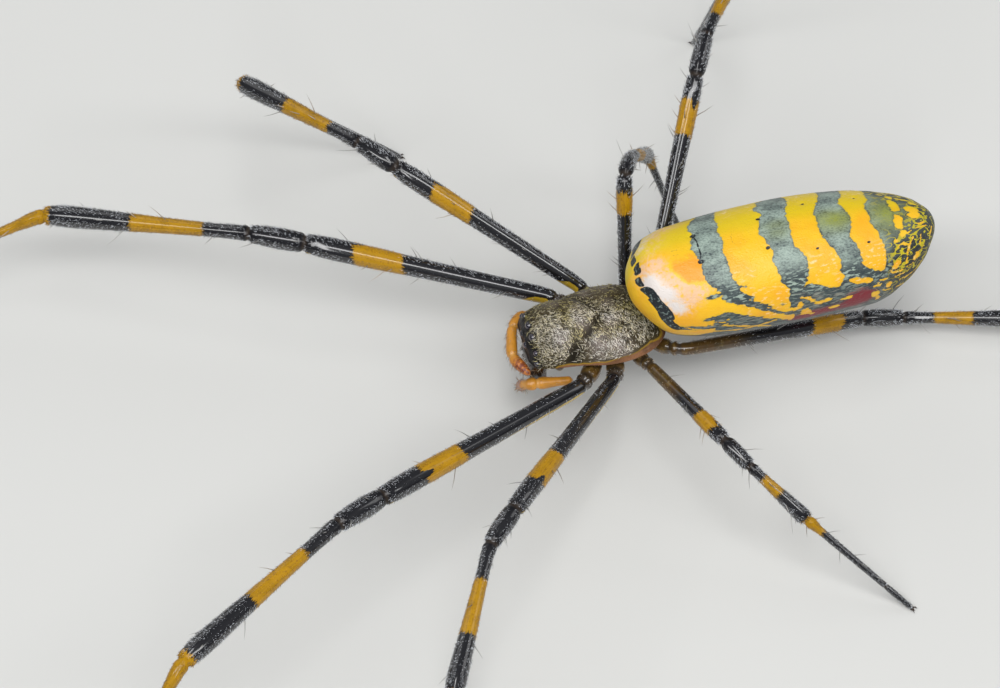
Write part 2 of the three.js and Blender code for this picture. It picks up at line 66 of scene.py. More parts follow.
# Outline and profile as (y, share of the half width) and (y, share of the height)
CARAPACE_WIDTHS = [
    (-7.8, 0.5), (-7.6, 0.62), (-7.2, 0.73), (-6.4, 0.8), (-5.2, 0.85), (-4.4, 0.91), (-3.6, 0.98),
    (-2.9, 1), (-2.1, 0.985), (-1.3, 0.92), (-0.6, 0.8), (-0.15, 0.66), (0.1, 0.54), (0.25, 0.4),
]
CARAPACE_HEIGHTS = [
    (-7.8, 0.3), (-7.68, 0.42), (-7.5, 0.52), (-7.2, 0.68), (-6.6, 0.88), (-5.9, 0.96), (-5.0, 0.95),
    (-4.3, 0.84), (-3.5, 0.8), (-2.7, 0.74), (-1.9, 0.62), (-1.1, 0.44), (-0.5, 0.27), (-0.1, 0.13),
    (0.25, 0.03),
]

ABDOMEN_START = -1.8
ABDOMEN_LENGTH = 18.15
ABDOMEN_HALF_WIDTH = 3.71
ABDOMEN_AXIS_Z = 10.0
ABDOMEN_UP = 0.94
ABDOMEN_DOWN = 0.86
# As (share of the length, share of the half width, how far its middle lies above the axis)
ABDOMEN_SHAPE = [
    (0, 0, 0.85), (0.004, 0.17, 0.845), (0.012, 0.3, 0.83), (0.03, 0.46, 0.8), (0.06, 0.65, 0.73),
    (0.1, 0.79, 0.38), (0.145, 0.87, 0.28), (0.19, 0.91, 0.16), (0.25, 0.95, 0.12), (0.32, 0.975, 0.08),
    (0.43, 0.995, 0.08), (0.52, 1, 0.08), (0.6, 0.99, 0), (0.69, 0.965, -0.1), (0.77, 0.925, -0.24),
    (0.815, 0.865, -0.2), (0.855, 0.78, -0.04), (0.9, 0.665, 0.18), (0.94, 0.52, 0.45),
    (0.978, 0.3, 0.78), (0.988, 0.22, 0.86), (0.996, 0.125, 0.93), (1, 0, 0.95),
]

# Legs: where each starts under the carapace, where its femur starts, the lengths of femur, patella, tibia,
# metatarsus and tarsus, and the radii of coxa, femur and metatarsus
LEG_SIZES = {
    "1": dict(root=(1.3, -3.85), base=(3.1, -5.1), lengths=(14.8, 3.3, 12.4, 14.5, 3.2),
              hip=0.68, girth=0.68, slim=0.31),
    "2": dict(root=(1.3, -2.75), base=(3.1, -3.2), lengths=(13.2, 2.6, 9.6, 11.5, 2.8),
              hip=0.67, girth=0.62, slim=0.3),
    "3": dict(root=(1.2, -1.65), base=(2.75, -1.1), lengths=(7.0, 2.1, 4.6, 6.0, 2.0),
              hip=0.55, girth=0.5, slim=0.25),
    "4": dict(root=(0.82, -0.42), base=(1.95, 0.95), lengths=(12.2, 2.7, 7.8, 10.4, 2.5),
              hip=0.58, girth=0.56, slim=0.28),
}
LEG_ROOT_Z = 5.95
LEG_BASE_Z = 6.6
LEG_CORNER = 0.85
# Heading and rise in degrees of femur, patella and tibia, the foot's heading, and the base's own shift
LEG_POSES = {
    "left_1": ([(-65.5, 9.6), (-62.4, 11.2), (-56.7, 1.7)], -49.6, (0, 0, 0)),
    "left_2": ([(-41.6, 16.6), (-45.9, -2.9), (-26.9, -6.0)], -0.7, (0, 0, 0)),
    "left_3": ([(22.2, 6.2), (28.8, -10.0), (45.4, -34.7)], 47.1, (0, 0, 0)),
    "left_4": ([(99.2, -17.1), (89.2, -18.0), (72.5, 3.5)], 80, (0.2, -0.15, 0)),
    "right_1": ([(-110.6, 12.8), (-118.9, -4.0), (-116.8, -8.6)], -95.1, (0, 0, 0)),
    "right_2": ([(-125.2, 28.7), (-141.6, 3.5), (-144.7, -13.6)], 89.5, (0.1, -0.15, 0.1)),
    "right_3": ([(166.6, 55.2), (152.7, -22.7), (144.3, -52.3)], 73.8, (0, 0, 0)),
    "right_4": ([(151.0, 35.8), (152.4, 8.0), (147, -14)], -151, (0.55, -0.5, 0.3)),
}
# A leg's segments in order, and each one's shape as (share of its length, share of its radius)
HIP, THIGH, KNEE, SHIN, FOOT, TOE = range(6)
COXA = [(0, 0.66), (0.25, 0.8), (0.5, 0.86), (0.68, 0.76), (0.75, 0.68), (0.86, 0.8), (0.97, 0.74)]
FEMUR = [(0.02, 0.74), (0.09, 0.8), (0.3, 0.84), (0.55, 0.9), (0.78, 1.0), (0.91, 1.0), (0.98, 0.88)]
PATELLA = [(0.06, 0.86), (0.25, 0.96), (0.6, 0.95), (0.88, 0.84)]
TIBIA = [(0.015, 0.72), (0.06, 0.7), (0.2, 0.66), (0.45, 0.76), (0.7, 0.92), (0.88, 1.0), (0.97, 0.86)]
METATARSUS = [(0.015, 1.5), (0.06, 1.42), (0.14, 1.12), (0.4, 1.0), (0.75, 0.92), (0.97, 0.86)]
TARSUS = [(0.05, 0.84), (0.3, 0.88), (0.7, 0.8), (1, 0.7)]
# Where the coloured bands start and end, and how far amber reaches up a femur, as shares of the segment
FEMUR_BANDS = {"1": (0.60, 0.80), "2": (0.595, 0.80), "3": (0.66, 0.855), "4": (0.70, 0.87)}
TIBIA_BANDS = {"1": (0.22, 0.57), "2": (0.24, 0.60), "3": (0.21, 0.50), "4": (0.23, 0.52)}
METATARSUS_BAND = 0.2
AMBER_FEMUR = {"left_3": 0.5, "left_4": 0.42}

# The camera looks down at the spider's left front, at the photograph's angle
CAMERA_AZIMUTH = 75.6
CAMERA_ELEVATION = 56.0
CAMERA_DISTANCE = 0.38
PICTURE_WIDTH = 1000
PICTURE_HEIGHT = 688
PIXELS_PER_MM = 17.5
WAIST_PIXEL = (656, 315)           # where the waist lies in the picture
SENSOR = 36.0
KEY_FROM = (0.42, -0.108, 0.913)   # the direction of the two long key lamps, a little above the camera


def towards(azimuth, elevation):
    """The direction from the spider to a place at an azimuth and an elevation in degrees."""
    azimuth, elevation = math.radians(azimuth), math.radians(elevation)
    level = math.cos(elevation)
    return np.array([math.sin(azimuth) * level, -math.cos(azimuth) * level, math.sin(elevation)])


VIEW_FROM = towards(CAMERA_AZIMUTH, CAMERA_ELEVATION)


class SpiderSizes(bpy.types.PropertyGroup):
    coat_depth: bpy.props.FloatProperty(
        name="Coat depth", description="How far the skins lie inside the solids, to leave room for the hair",
        default=0.04 * MM, min=0.0, unit="LENGTH")
    leg_hair: bpy.props.FloatProperty(
        name="Leg hair", description="Length of the short hairs on the legs",
        default=0.21 * MM, min=0.0, unit="LENGTH")
    leg_spine: bpy.props.FloatProperty(
        name="Leg spine", description="Length of the long spines on the legs",
        default=1.3 * MM, min=0.0, unit="LENGTH")
    carapace_hair: bpy.props.FloatProperty(
        name="Carapace hair", description="Length of the flat silver hairs on the carapace",
        default=0.34 * MM, min=0.0, unit="LENGTH")
    bristle: bpy.props.FloatProperty(
        name="Bristle", description="Length of the bristles on palps and jaws",
        default=0.6 * MM, min=0.0, unit="LENGTH")
    hairs_per_leg: bpy.props.IntProperty(
        name="Hairs on a leg", description="Number of short hairs on one of the longest legs",
        default=20000, min=100)
    carapace_hairs: bpy.props.IntProperty(
        name="Hairs on the carapace", description="Number of flat hairs on the carapace",
        default=15000, min=100)


def colour_choice(name, description, default):
    return bpy.props.FloatVectorProperty(
        name=name, description=description, subtype="COLOR", size=3, min=0.0, max=1.0, default=default)


class SpiderColours(bpy.types.PropertyGroup):
    # Gold is the abdomen's yellow in light, for its left side; the greener yellow below it is the same yellow
    # with painted shade, for its far right side
    gold: colour_choice("Gold", "Yellow of the abdomen's left bands", (0.86, 0.50, 0.012))
    shaded_yellow: colour_choice("Lemon", "Greener yellow of the abdomen's far side", (0.72, 0.52, 0.007))
    amber: colour_choice("Amber", "Orange patch behind the abdomen's front", (0.84, 0.32, 0.012))
    # The cream and peach zones are partly the abdomen's pale front and partly a painted sheen, which is
    # stronger on the lit left side
    cream: colour_choice("Cream", "Pale zone at the abdomen's front", (0.70, 0.64, 0.60))
    rose_sheen: colour_choice("Rose", "Peach zone round the abdomen's pale front", (0.78, 0.49, 0.28))
    bar: colour_choice("Bar", "Grey-blue of the abdomen's bars", (0.40, 0.50, 0.43))
    shade: colour_choice("Shade", "Blue-black of the bars' edges and the flanks", (0.018, 0.030, 0.038))
    olive: colour_choice("Olive", "Olive green of the rear bars' middle", (0.26, 0.29, 0.045))
    crimson: colour_choice("Crimson", "Red of the lower flank", (0.20, 0.012, 0.022))
    black: colour_choice("Black", "Black of the legs", (0.006, 0.006, 0.008))
    band: colour_choice("Band", "Orange of the leg bands", (0.43, 0.225, 0.004))
    hip: colour_choice("Hip", "Amber brown of the leg bases", (0.10, 0.05, 0.010))
    palp: colour_choice("Palp", "Orange of the palps", (0.56, 0.24, 0.022))
    shell: colour_choice("Shell", "Dark brown of the carapace under its hairs", (0.034, 0.026, 0.012))
    rim: colour_choice("Rim", "Brown of the carapace's rim", (0.235, 0.112, 0.055))
    silver: colour_choice("Silver", "Pale hairs of the carapace", (0.90, 0.85, 0.78))
    grey_hair: colour_choice("Grey hair", "Hairs of the legs", (0.82, 0.85, 0.90))
    floor: colour_choice("Floor", "Floor of the stage", (0.62, 0.62, 0.60))


def sizes():
    return bpy.context.scene.spider_sizes


def colours():
    return bpy.context.scene.spider_colours


def smooth(stations, t):
    """Smooth values at t through a few (t, value) stations."""
    ts, vs = np.array(stations, float).T
    t = np.clip(np.asarray(t, float), ts[0], ts[-1])
    i = np.clip(np.searchsorted(ts, t, side="right") - 1, 0, len(ts) - 2)
    order = np.arange(len(ts))
    before = np.maximum(order - 1, 0)
    after = np.minimum(order + 1, len(ts) - 1)
    slope = (vs[after] - vs[before]) / (ts[after] - ts[before])
    h = ts[i + 1] - ts[i]
    u = (t - ts[i]) / h
    bend = slope[i] * h * (u**3 - 2 * u**2 + u) + slope[i + 1] * h * (u**3 - u**2)
    return vs[i] * (2 * u**3 - 3 * u**2 + 1) + vs[i + 1] * (3 * u**2 - 2 * u**3) + bend


def unit(vectors):
    return vectors / np.maximum(np.linalg.norm(vectors, axis=-1, keepdims=True), 1e-9)


def fade(value, low, high):
    """0 below low, 1 above high and a smooth step between them."""
    u = np.clip((value - low) / (high - low), 0, 1)
    return u * u * (3 - 2 * u)


def bell(away, width, power=2):
    """1 where `away` is 0, and nearly 0 beyond `width` to either side."""
    return np.exp(-((away / width) ** power))


def nearest(x, y, start, end):
    """The share along a straight run at which each place is nearest to it, and the distance there."""
    dx, dy = end[0] - start[0], end[1] - start[1]
    t = np.clip(((x - start[0]) * dx + (y - start[1]) * dy) / (dx * dx + dy * dy), 0, 1)
    return t, np.hypot(x - start[0] - t * dx, y - start[1] - t * dy)


def times(colour, share):
    """A darker or a lighter tone of a colour."""
    return tuple(share * x for x in colour)


def mottle(points, size, seed, octaves=3):
    """Smooth random values from 0 to 1 at points, with blotches of about `size`."""
    table = np.random.default_rng(seed).random((32, 32, 32))
    total = np.zeros(len(points))
    weight = 0
    for octave in range(octaves):
        share = 0.5**octave
        p = points / size * 2**octave + 17.3 * octave
        cell = np.floor(p).astype(int)
        f = p - cell
        f = f * f * (3 - 2 * f)
        value = np.zeros(len(points))
        for corner in np.ndindex(2, 2, 2):
            near = np.where(corner, f, 1 - f).prod(axis=1)
            x, y, z = ((cell + corner) % 32).T
            value += near * table[x, y, z]
        total += share * value
        weight += share
    return total / weight


class Limb:
    """A path of straight runs joined by round corners, with the distance along it to each joint."""

    MOST_CORNER = 0.42                 # the share of a run that a corner may take at either end
    NEAR = 0.05                        # how far apart two places are for the heading between them

    def __init__(self, points, corner, level=True):
        self.level = level
        points = [np.array(p, float) for p in points]
        run, joints, start = [points[0][None]], [0.0], points[0]
        length = 0.0
        for before, here, after in zip(points, points[1:], points[2:]):
            shorter = min(np.linalg.norm(here - before), np.linalg.norm(after - here))
            reach = min(corner, self.MOST_CORNER * shorter)
            enter = here + unit(before - here) * reach
            leave = here + unit(after - here) * reach
            t = np.linspace(0, 1, 17)[:, None]
            bend = (1 - t) ** 2 * enter + 2 * t * (1 - t) * here + t**2 * leave
            arc = np.linalg.norm(np.diff(bend, axis=0), axis=1).sum()
            length += np.linalg.norm(enter - start)
            joints.append(length + arc / 2)
            length += arc
            run.append(bend)
            start = leave
        run.append(points[-1][None])
        self.points = np.concatenate(run)
        steps = np.linalg.norm(np.diff(self.points, axis=0), axis=1)
        self.distances = np.concatenate([[0], np.cumsum(steps)])
        self.length = self.distances[-1]
        self.joints = joints + [self.length]

    def at(self, s):
        """Centres, headings and the two directions square to them, up and sideways, at distances s."""
        centre = self.place(s)
        along = unit(self.place(s + self.NEAR) - self.place(s - self.NEAR))
        reference = np.array([0, 0, 1.0]) if self.level else np.array([0, -1.0, 0])
        up = unit(reference - along * (along @ reference)[:, None])
        return centre, along, up, np.cross(up, along)

    def place(self, s):
        s = np.asarray(s, float)
        held = np.clip(s, 0, self.length)
        found = [np.interp(held, self.distances, self.points[:, k]) for k in range(3)]
        first = unit(self.points[1] - self.points[0])
        last = unit(self.points[-1] - self.points[-2])
        past = np.minimum(s, 0)[:, None] * first
        return np.stack(found, axis=-1) + past + np.maximum(s - self.length, 0)[:, None] * last


def limb_radii(joints, segments):
    """Radii along a limb, from each segment's (share of its length, radius) stations."""
    return [
        (start + share * (end - start), radius)
        for start, end, stations in zip(joints, joints[1:], segments)
        for share, radius in stations
    ]


def heading(yaw, rise):
    yaw, rise = math.radians(yaw), math.radians(rise)
    return np.array([math.cos(yaw) * math.cos(rise), math.sin(yaw) * math.cos(rise), math.sin(rise)])


def round_end(left, reach):
    """Draws a limb in to a round end over the last `reach` millimetres. `left` is the way to its end."""
    left = np.clip(left / reach, 0, 1)
    return np.sqrt(np.clip(1 - (1 - left) ** 2, 0.01, 1))


class Leg:
    """One leg's path, radii and markings."""

    # Half widths of the soft membranes, in millimetres
    HIP_MEMBRANE = 0.1
    MEMBRANE = 0.13
    TOE_MEMBRANE = 0.07

    def __init__(self, name):
        self.name = name
        self.pair = name[-1]
        self.side = 1 if name.startswith("left") else -1
        size = LEG_SIZES[self.pair]
        turns, foot, shift = LEG_POSES[name]
        self.girth = size["girth"]
        x, y = size["base"]
        base = np.array([(x + shift[0]) * self.side, y + shift[1], LEG_BASE_Z + shift[2]])
        root = np.array([size["root"][0] * self.side, size["root"][1], LEG_ROOT_Z])
        points = [root, base]
        for (yaw, rise), length in zip(turns, size["lengths"]):
            points.append(points[-1] + heading(yaw, rise) * length)
        reach = sum(size["lengths"][3:])
        sole = TARSUS[-1][1] * size["slim"]
        drop = math.degrees(math.asin((points[-1][2] - sole) / reach))
        points.append(points[-1] + heading(foot, -drop) * reach)
        self.limb = Limb(points, LEG_CORNER)
        ankle = self.limb.joints[FOOT]
        split = ankle + (self.limb.length - ankle) * size["lengths"][3] / reach
        self.joints = [*self.limb.joints[:TOE], split, self.limb.length]
        hip, girth, slim = size["hip"], size["girth"], size["slim"]
        scales = (hip, girth, girth, girth, slim, slim)
        shapes = (COXA, FEMUR, PATELLA, TIBIA, METATARSUS, TARSUS)
        segments = [[(t, r * scale) for t, r in shape] for shape, scale in zip(shapes, scales)]
        self.stations = limb_radii(self.joints, segments)

    def nodes(self):
        return [f"leg_{self.name}_{part}" for part in ("hip", "femur", "tibia", "foot")]

    def span(self, segment):
        return self.joints[segment + 1] - self.joints[segment]

    def share(self, segment, s):
        """How far along a segment the distances s are, as a share of its length."""
        return (s - self.joints[segment]) / self.span(segment)

    def joint_gap(self, s):
        """1 at a joint's soft membrane, 0 away from it."""
        joints = [(joint, self.MEMBRANE) for joint in self.joints[THIGH:TOE]]
        gaps = [(self.trochanter(), self.HIP_MEMBRANE), *joints, (self.joints[TOE], self.TOE_MEMBRANE)]
        return sum(bell(s - joint, width, 4) for joint, width in gaps)

    def trochanter(self):
        """The crease between coxa and trochanter."""
        return self.joints[HIP] + 0.73 * self.span(HIP)

    def radius(self, s):
        """The skin's radius, with a lip beside each joint, a dip in it and a round end."""
        skin = smooth(self.stations, s) - sizes().coat_depth / MM
        lips = sum(bell(np.abs(s - joint) - 0.3, 0.12) for joint in self.joints[THIGH:TOE])
        skin = skin * (1 + 0.035 * lips) * (1 - 0.2 * np.clip(self.joint_gap(s), 0, 1))
        return skin * round_end(s, 0.3) * round_end(self.limb.length - s, 0.22)

    def band(self, s, around):
        """Depth in mm inside a coloured band. `around` is the angle from the leg's top."""
        low, high = FEMUR_BANDS[self.pair]
        notch = 0.085 * bell(around * self.side - 0.65, 0.16)
        slant = 0.02 * np.cos(around)
        share = self.share(THIGH, s)
        thigh = np.minimum(share - low - slant, high + slant - notch - share) * self.span(THIGH)
        low, high = TIBIA_BANDS[self.pair]
        share = self.share(SHIN, s)
        shin = np.minimum(share - low, high - share) * self.span(SHIN)
        share = self.share(FOOT, s)
        foot = np.minimum(share + 0.03, METATARSUS_BAND - share) * self.span(FOOT)
        return np.maximum(np.maximum(thigh, shin), foot)

    def underline(self, s, around):
        """Depth in mm inside the yellow line on the femur's rear side, the yellow below and before its start,
        or the spot at its knee. Only the two front pairs have them."""
        if self.pair in "34":
            return np.full(len(s), -1.0)
        share = self.share(THIGH, s)
        radius = smooth(self.stations, s)
        rear = around * self.side
        line = 0.19 * fade(share, 0.0, 0.04) * (1 - fade(share, 0.1, 0.58)) - np.abs(rear - 1.75) * radius
        below = 0.75 * fade(share, -0.01, 0.02) * (1 - fade(share, 0.05, 0.22))
        below = below - (np.pi - np.abs(around)) * radius
        front = 0.5 * fade(share, 0.0, 0.03) * (1 - fade(share, 0.08, 0.14)) - np.abs(rear + 1.9) * radius
        ahead = (share - 0.98) * self.span(THIGH)
        spot = 0.1 - np.hypot(0.6 * ahead, (np.abs(around) - 1.8) * radius)
        return np.where(share > -0.02, np.max([line, below, spot, front], axis=0), -1.0)

    def stain(self, s):
        """How amber the leg is: its hip, and the start of the femur on the left rear legs."""
        hip = 1 - 0.75 * fade(s, self.trochanter() - 0.1, self.trochanter() + 0.1)
        hip = hip * (1 - fade(s, self.joints[THIGH] - 0.1, self.joints[THIGH] + 0.2))
        reach = AMBER_FEMUR.get(self.name)
        if not reach:
            return hip
        return np.maximum(hip, 0.75 * (1 - fade(self.share(THIGH, s), 0.5 * reach, reach)))

    def facing(self, s):
        """The angle from the leg's top to the bare strip, which faces the side that is looked at."""
        _, _, up, over = self.limb.at(s)
        return np.arctan2(over @ VIEW_FROM, up @ VIEW_FROM)

    def knees(self, s):
        """1 at the joints from the knee to the foot, 0 away from them."""
        return bell(np.min([np.abs(s - joint) for joint in self.joints[KNEE:TOE]], axis=0), 0.5)


LEGS = [Leg(name) for name in LEG_POSES]


def clear_selection():
    for thing in bpy.context.selected_objects:
        thing.select_set(False)


def take(*pieces):
    """Selects these objects alone and makes the first the active one."""
    clear_selection()
    for piece in pieces:
        piece.select_set(True)
    bpy.context.view_layer.objects.active = pieces[0]


def join(pieces, name):
    take(*pieces)
    bpy.ops.object.join()
    pieces[0].name = name
    return pieces[0]


def note(piece, name, values):
    """Keeps a value for each vertex, for the materials to read."""
    attribute = piece.data.attributes.new(name, "FLOAT", "POINT")
    attribute.data.foreach_set("value", np.asarray(values, np.float32))


def noted(piece, name):
    values = np.zeros(len(piece.data.vertices), np.float32)
    piece.data.attributes[name].data.foreach_get("value", values)
    return values


SORT_FROM = (5.31, -11.73, 14.97)  # a place from which no two corners of a body are equally far


def sort_corners():
    """Sorts the mesh in edit mode. Extruding leaves its corners in another order each time, and the
    carapace's hairs are scattered in that order, so without this each run would place them anew."""
    bpy.context.scene.cursor.location = SORT_FROM
    bpy.ops.mesh.select_all(action="SELECT")
    bpy.ops.mesh.sort_elements(type="CURSOR_DISTANCE", elements={"VERT", "EDGE", "FACE"})


def places(piece):
    """Where each vertex lies."""
    found = np.zeros(len(piece.data.vertices) * 3)
    piece.data.vertices.foreach_get("co", found)
    return found.reshape(-1, 3)


def move_to(piece, points):
    piece.data.vertices.foreach_set("co", np.asarray(points, float).ravel())
    piece.data.update()


def outward(piece):
    """The direction in which the skin faces at each vertex."""
    found = np.zeros(len(piece.data.vertices) * 3)
    piece.data.vertex_normals.foreach_get("vector", found)
    return found.reshape(-1, 3)


def fullness(sides):
    """How much larger a ring starts, because smoothing draws it in."""
    return 6 / (4 + 2 * math.cos(2 * math.pi / sides))


def ring_body(name, ys, zs, half_widths, half_heights, sides, levels):
    """A closed body along Y: a circle extruded from ring to ring, then made smooth."""
    rings = list(zip(ys, zs, half_widths, half_heights))
    clear_selection()
    y, z, wide, tall = rings[0]
    bpy.ops.mesh.primitive_circle_add(
        vertices=sides, radius=1, fill_type="NGON", location=(0, y, z), rotation=(math.pi / 2, 0, 0))
    piece = bpy.context.object
    piece.name = name
    bpy.ops.object.transform_apply(location=True, rotation=True, scale=True)
    bpy.ops.object.mode_set(mode="EDIT")
    bpy.ops.mesh.select_all(action="SELECT")
    bpy.ops.transform.resize(value=(wide, 1, tall), center_override=(0, y, z))
    for ring in rings[1:]:
        step = (0, ring[0] - y, ring[1] - z)
        bpy.ops.mesh.extrude_region_move(TRANSFORM_OT_translate={"value": step})
        grow = (ring[2] / wide, 1, ring[3] / tall)
        y, z, wide, tall = ring
        bpy.ops.transform.resize(value=grow, center_override=(0, y, z))
    bpy.ops.mesh.select_all(action="SELECT")
    bpy.ops.mesh.normals_make_consistent(inside=False)
    sort_corners()
    bpy.ops.object.mode_set(mode="OBJECT")
    make_smooth(piece, levels)
    return piece


def make_smooth(piece, levels):
    take(piece)
    smoother = piece.modifiers.new("Smooth", "SUBSURF")
    smoother.levels = smoother.render_levels = levels
    bpy.ops.object.modifier_apply(modifier=smoother.name)


def tube(name, limb, distances, radii, sides=16):
    """A round limb: a curve with its own radius at each point, turned into a mesh and closed at both ends.
    Its vertices keep their distance along the limb as `run` and their angle from its top as `around`."""
    centres = limb.place(distances)
    curve = bpy.data.curves.new(name, "CURVE")
    curve.dimensions = "3D"
    curve.bevel_depth = 1.0
    curve.bevel_resolution = (sides - 4) // 2
    curve.twist_mode = "Z_UP"
    spline = curve.splines.new("POLY")
    spline.points.add(len(centres) - 1)
    spline.points.foreach_set("co", np.c_[centres, np.ones(len(centres))].ravel())
    spline.points.foreach_set("radius", np.asarray(radii, np.float32))
    piece = bpy.data.objects.new(name, curve)
    bpy.context.scene.collection.objects.link(piece)
    take(piece)
    bpy.ops.object.convert(target="MESH")
    piece = bpy.context.object
    piece.data.name = name
    run = np.repeat(distances, len(piece.data.vertices) // len(distances))
    note(piece, "run", run)
    _, _, up, over = limb.at(run)
    out = places(piece) - limb.place(run)
    note(piece, "around", np.arctan2((out * over).sum(1), (out * up).sum(1)))
    bpy.ops.object.mode_set(mode="EDIT")
    bpy.ops.mesh.select_all(action="DESELECT")
    bpy.ops.mesh.select_mode(type="EDGE")
    bpy.ops.mesh.select_non_manifold()
    bpy.ops.mesh.fill_holes(sides=sides)
    bpy.ops.mesh.select_all(action="SELECT")
    bpy.ops.mesh.normals_make_consistent(inside=False)
    bpy.ops.object.mode_set(mode="OBJECT")
    return piece


def dress(piece, finish, nodes=()):
    """Brings a piece from millimetres to its place in the frame and gives it its finish."""
    for layer in list(piece.data.uv_layers):
        if layer.name != "OFBake":
            piece.data.uv_layers.remove(layer)
    piece.data.transform(Matrix.Translation(ORIGIN) @ Matrix.Scale(MM, 4))
    piece.data.polygons.foreach_set("use_smooth", np.ones(len(piece.data.polygons), bool))
    piece.data.materials.clear()
    piece.data.materials.append(finish)
    piece.data.update()
    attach(piece, "root")
    if nodes:
        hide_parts(*nodes)
    return piece


HAIR_LOWEST = 0.01                 # how high over the floor the lowest hair stays, in mm
HAIR_TAPER = (0.5, 0.36)           # a hair's radius at its base and halfway, as shares of its width
HAIR_MAP = 0.003                   # the side of the piece of the map that one hair takes
MAP_START, MAP_SPAN = 0.01, 0.975


def hairs(name, roots, out, lie, lengths, width, lift, bow, unwrap, notes=None, sides=3, rings=2):
    """Many hairs in one mesh. Each is a closed tapered spike that starts at its root and leans from the lie
    direction by `lift` degrees. With two rings it bows back towards it by `bow` degrees halfway.
    `unwrap` is each hair's place on the map, and `notes` are its values for the materials."""
    count = len(roots)
    lift, bow = np.radians(np.broadcast_to(lift, count)), np.radians(np.broadcast_to(bow, count))
    lengths = np.broadcast_to(lengths, count)
    lie = unit(lie - out * (lie * out).sum(1)[:, None])

    def lean(angle):
        return lie * np.cos(angle)[:, None] + out * np.sin(angle)[:, None]

    base = roots - out * np.minimum(0.3 * lengths, 0.06)[:, None]
    middle = base + lean(lift) * (0.5 * lengths)[:, None]
    tip = middle + lean(lift - bow) * (0.5 * lengths)[:, None]
    across = unit(np.cross(out, lie))
    corners = []
    for centre, angle, thick in list(zip((base, middle), (lift, lift - bow / 2), HAIR_TAPER))[:rings]:
        over = np.cross(lean(angle), across)
        for k in range(sides):
            turn = 2 * math.pi * k / sides
            corners.append(centre + (across * math.cos(turn) + over * math.sin(turn)) * (thick * width))
    corners.append(tip)
    each = rings * sides + 1
    points = np.stack(corners, axis=1).reshape(-1, 3)
    points[:, 2] = np.maximum(points[:, 2], HAIR_LOWEST)
    ring = np.arange(sides)
    after = (ring + 1) % sides
    last = (rings - 1) * sides
    faces = [list(ring[::-1])]
    faces += [[a, b, b + sides, a + sides] for a, b in zip(ring, after)] * (rings - 1)
    faces += [[a + last, b + last, each - 1] for a, b in zip(ring, after)]
    corner_list = np.concatenate(faces)
    loops = (corner_list[None] + each * np.arange(count)[:, None]).ravel()
    totals = np.tile([len(face) for face in faces], count)
    mesh = bpy.data.meshes.new(name)
    mesh.vertices.add(len(points))
    mesh.vertices.foreach_set("co", points.ravel())
    mesh.loops.add(len(loops))
    mesh.loops.foreach_set("vertex_index", loops)
    mesh.polygons.add(len(totals))
    mesh.polygons.foreach_set("loop_start", np.concatenate([[0], np.cumsum(totals)[:-1]]))
    mesh.polygons.foreach_set("loop_total", totals)
    mesh.update(calc_edges=True)
    spread = [(k / sides, row / rings) for row in range(rings) for k in range(sides)] + [(0.5, 1.0)]
    local = HAIR_MAP * np.array(spread)[corner_list]
    layer = mesh.uv_layers.new(name="OFBake")
    flat = MAP_START + MAP_SPAN * np.clip(unwrap, 0, 1)
    layer.data.foreach_set("uv", (flat[:, None] + local[None]).ravel())
    piece = bpy.data.objects.new(name, mesh)
    bpy.context.scene.collection.objects.link(piece)
    for key, values in (notes or {}).items():
        note(piece, key, np.repeat(values, each))
    return piece


class Wire:
    """A shader socket that Python's own operators work on."""

    def __init__(self, finish, socket):
        self.finish = finish
        self.socket = socket

    def maths(self, operation, *values):
        return self.finish.node("ShaderNodeMath", dict(operation=operation), dict(enumerate(values)))

    def __add__(self, other):
        return self.maths("ADD", self, other)

    def __sub__(self, other):
        return self.maths("SUBTRACT", self, other)

    def __rsub__(self, other):
        return self.maths("SUBTRACT", other, self)

    def __mul__(self, other):
        return self.maths("MULTIPLY", self, other)

    __radd__ = __add__
    __rmul__ = __mul__

    def most(self, other):
        return self.maths("MAXIMUM", self, other)

    def least(self, other):
        return self.maths("MINIMUM", self, other)

    def step(self, low, high):
        """0 below low, 1 above high and a smooth step between them."""
        return self.finish.node(
            "ShaderNodeMapRange", dict(interpolation_type="SMOOTHSTEP"), {0: self, 1: low, 2: high})


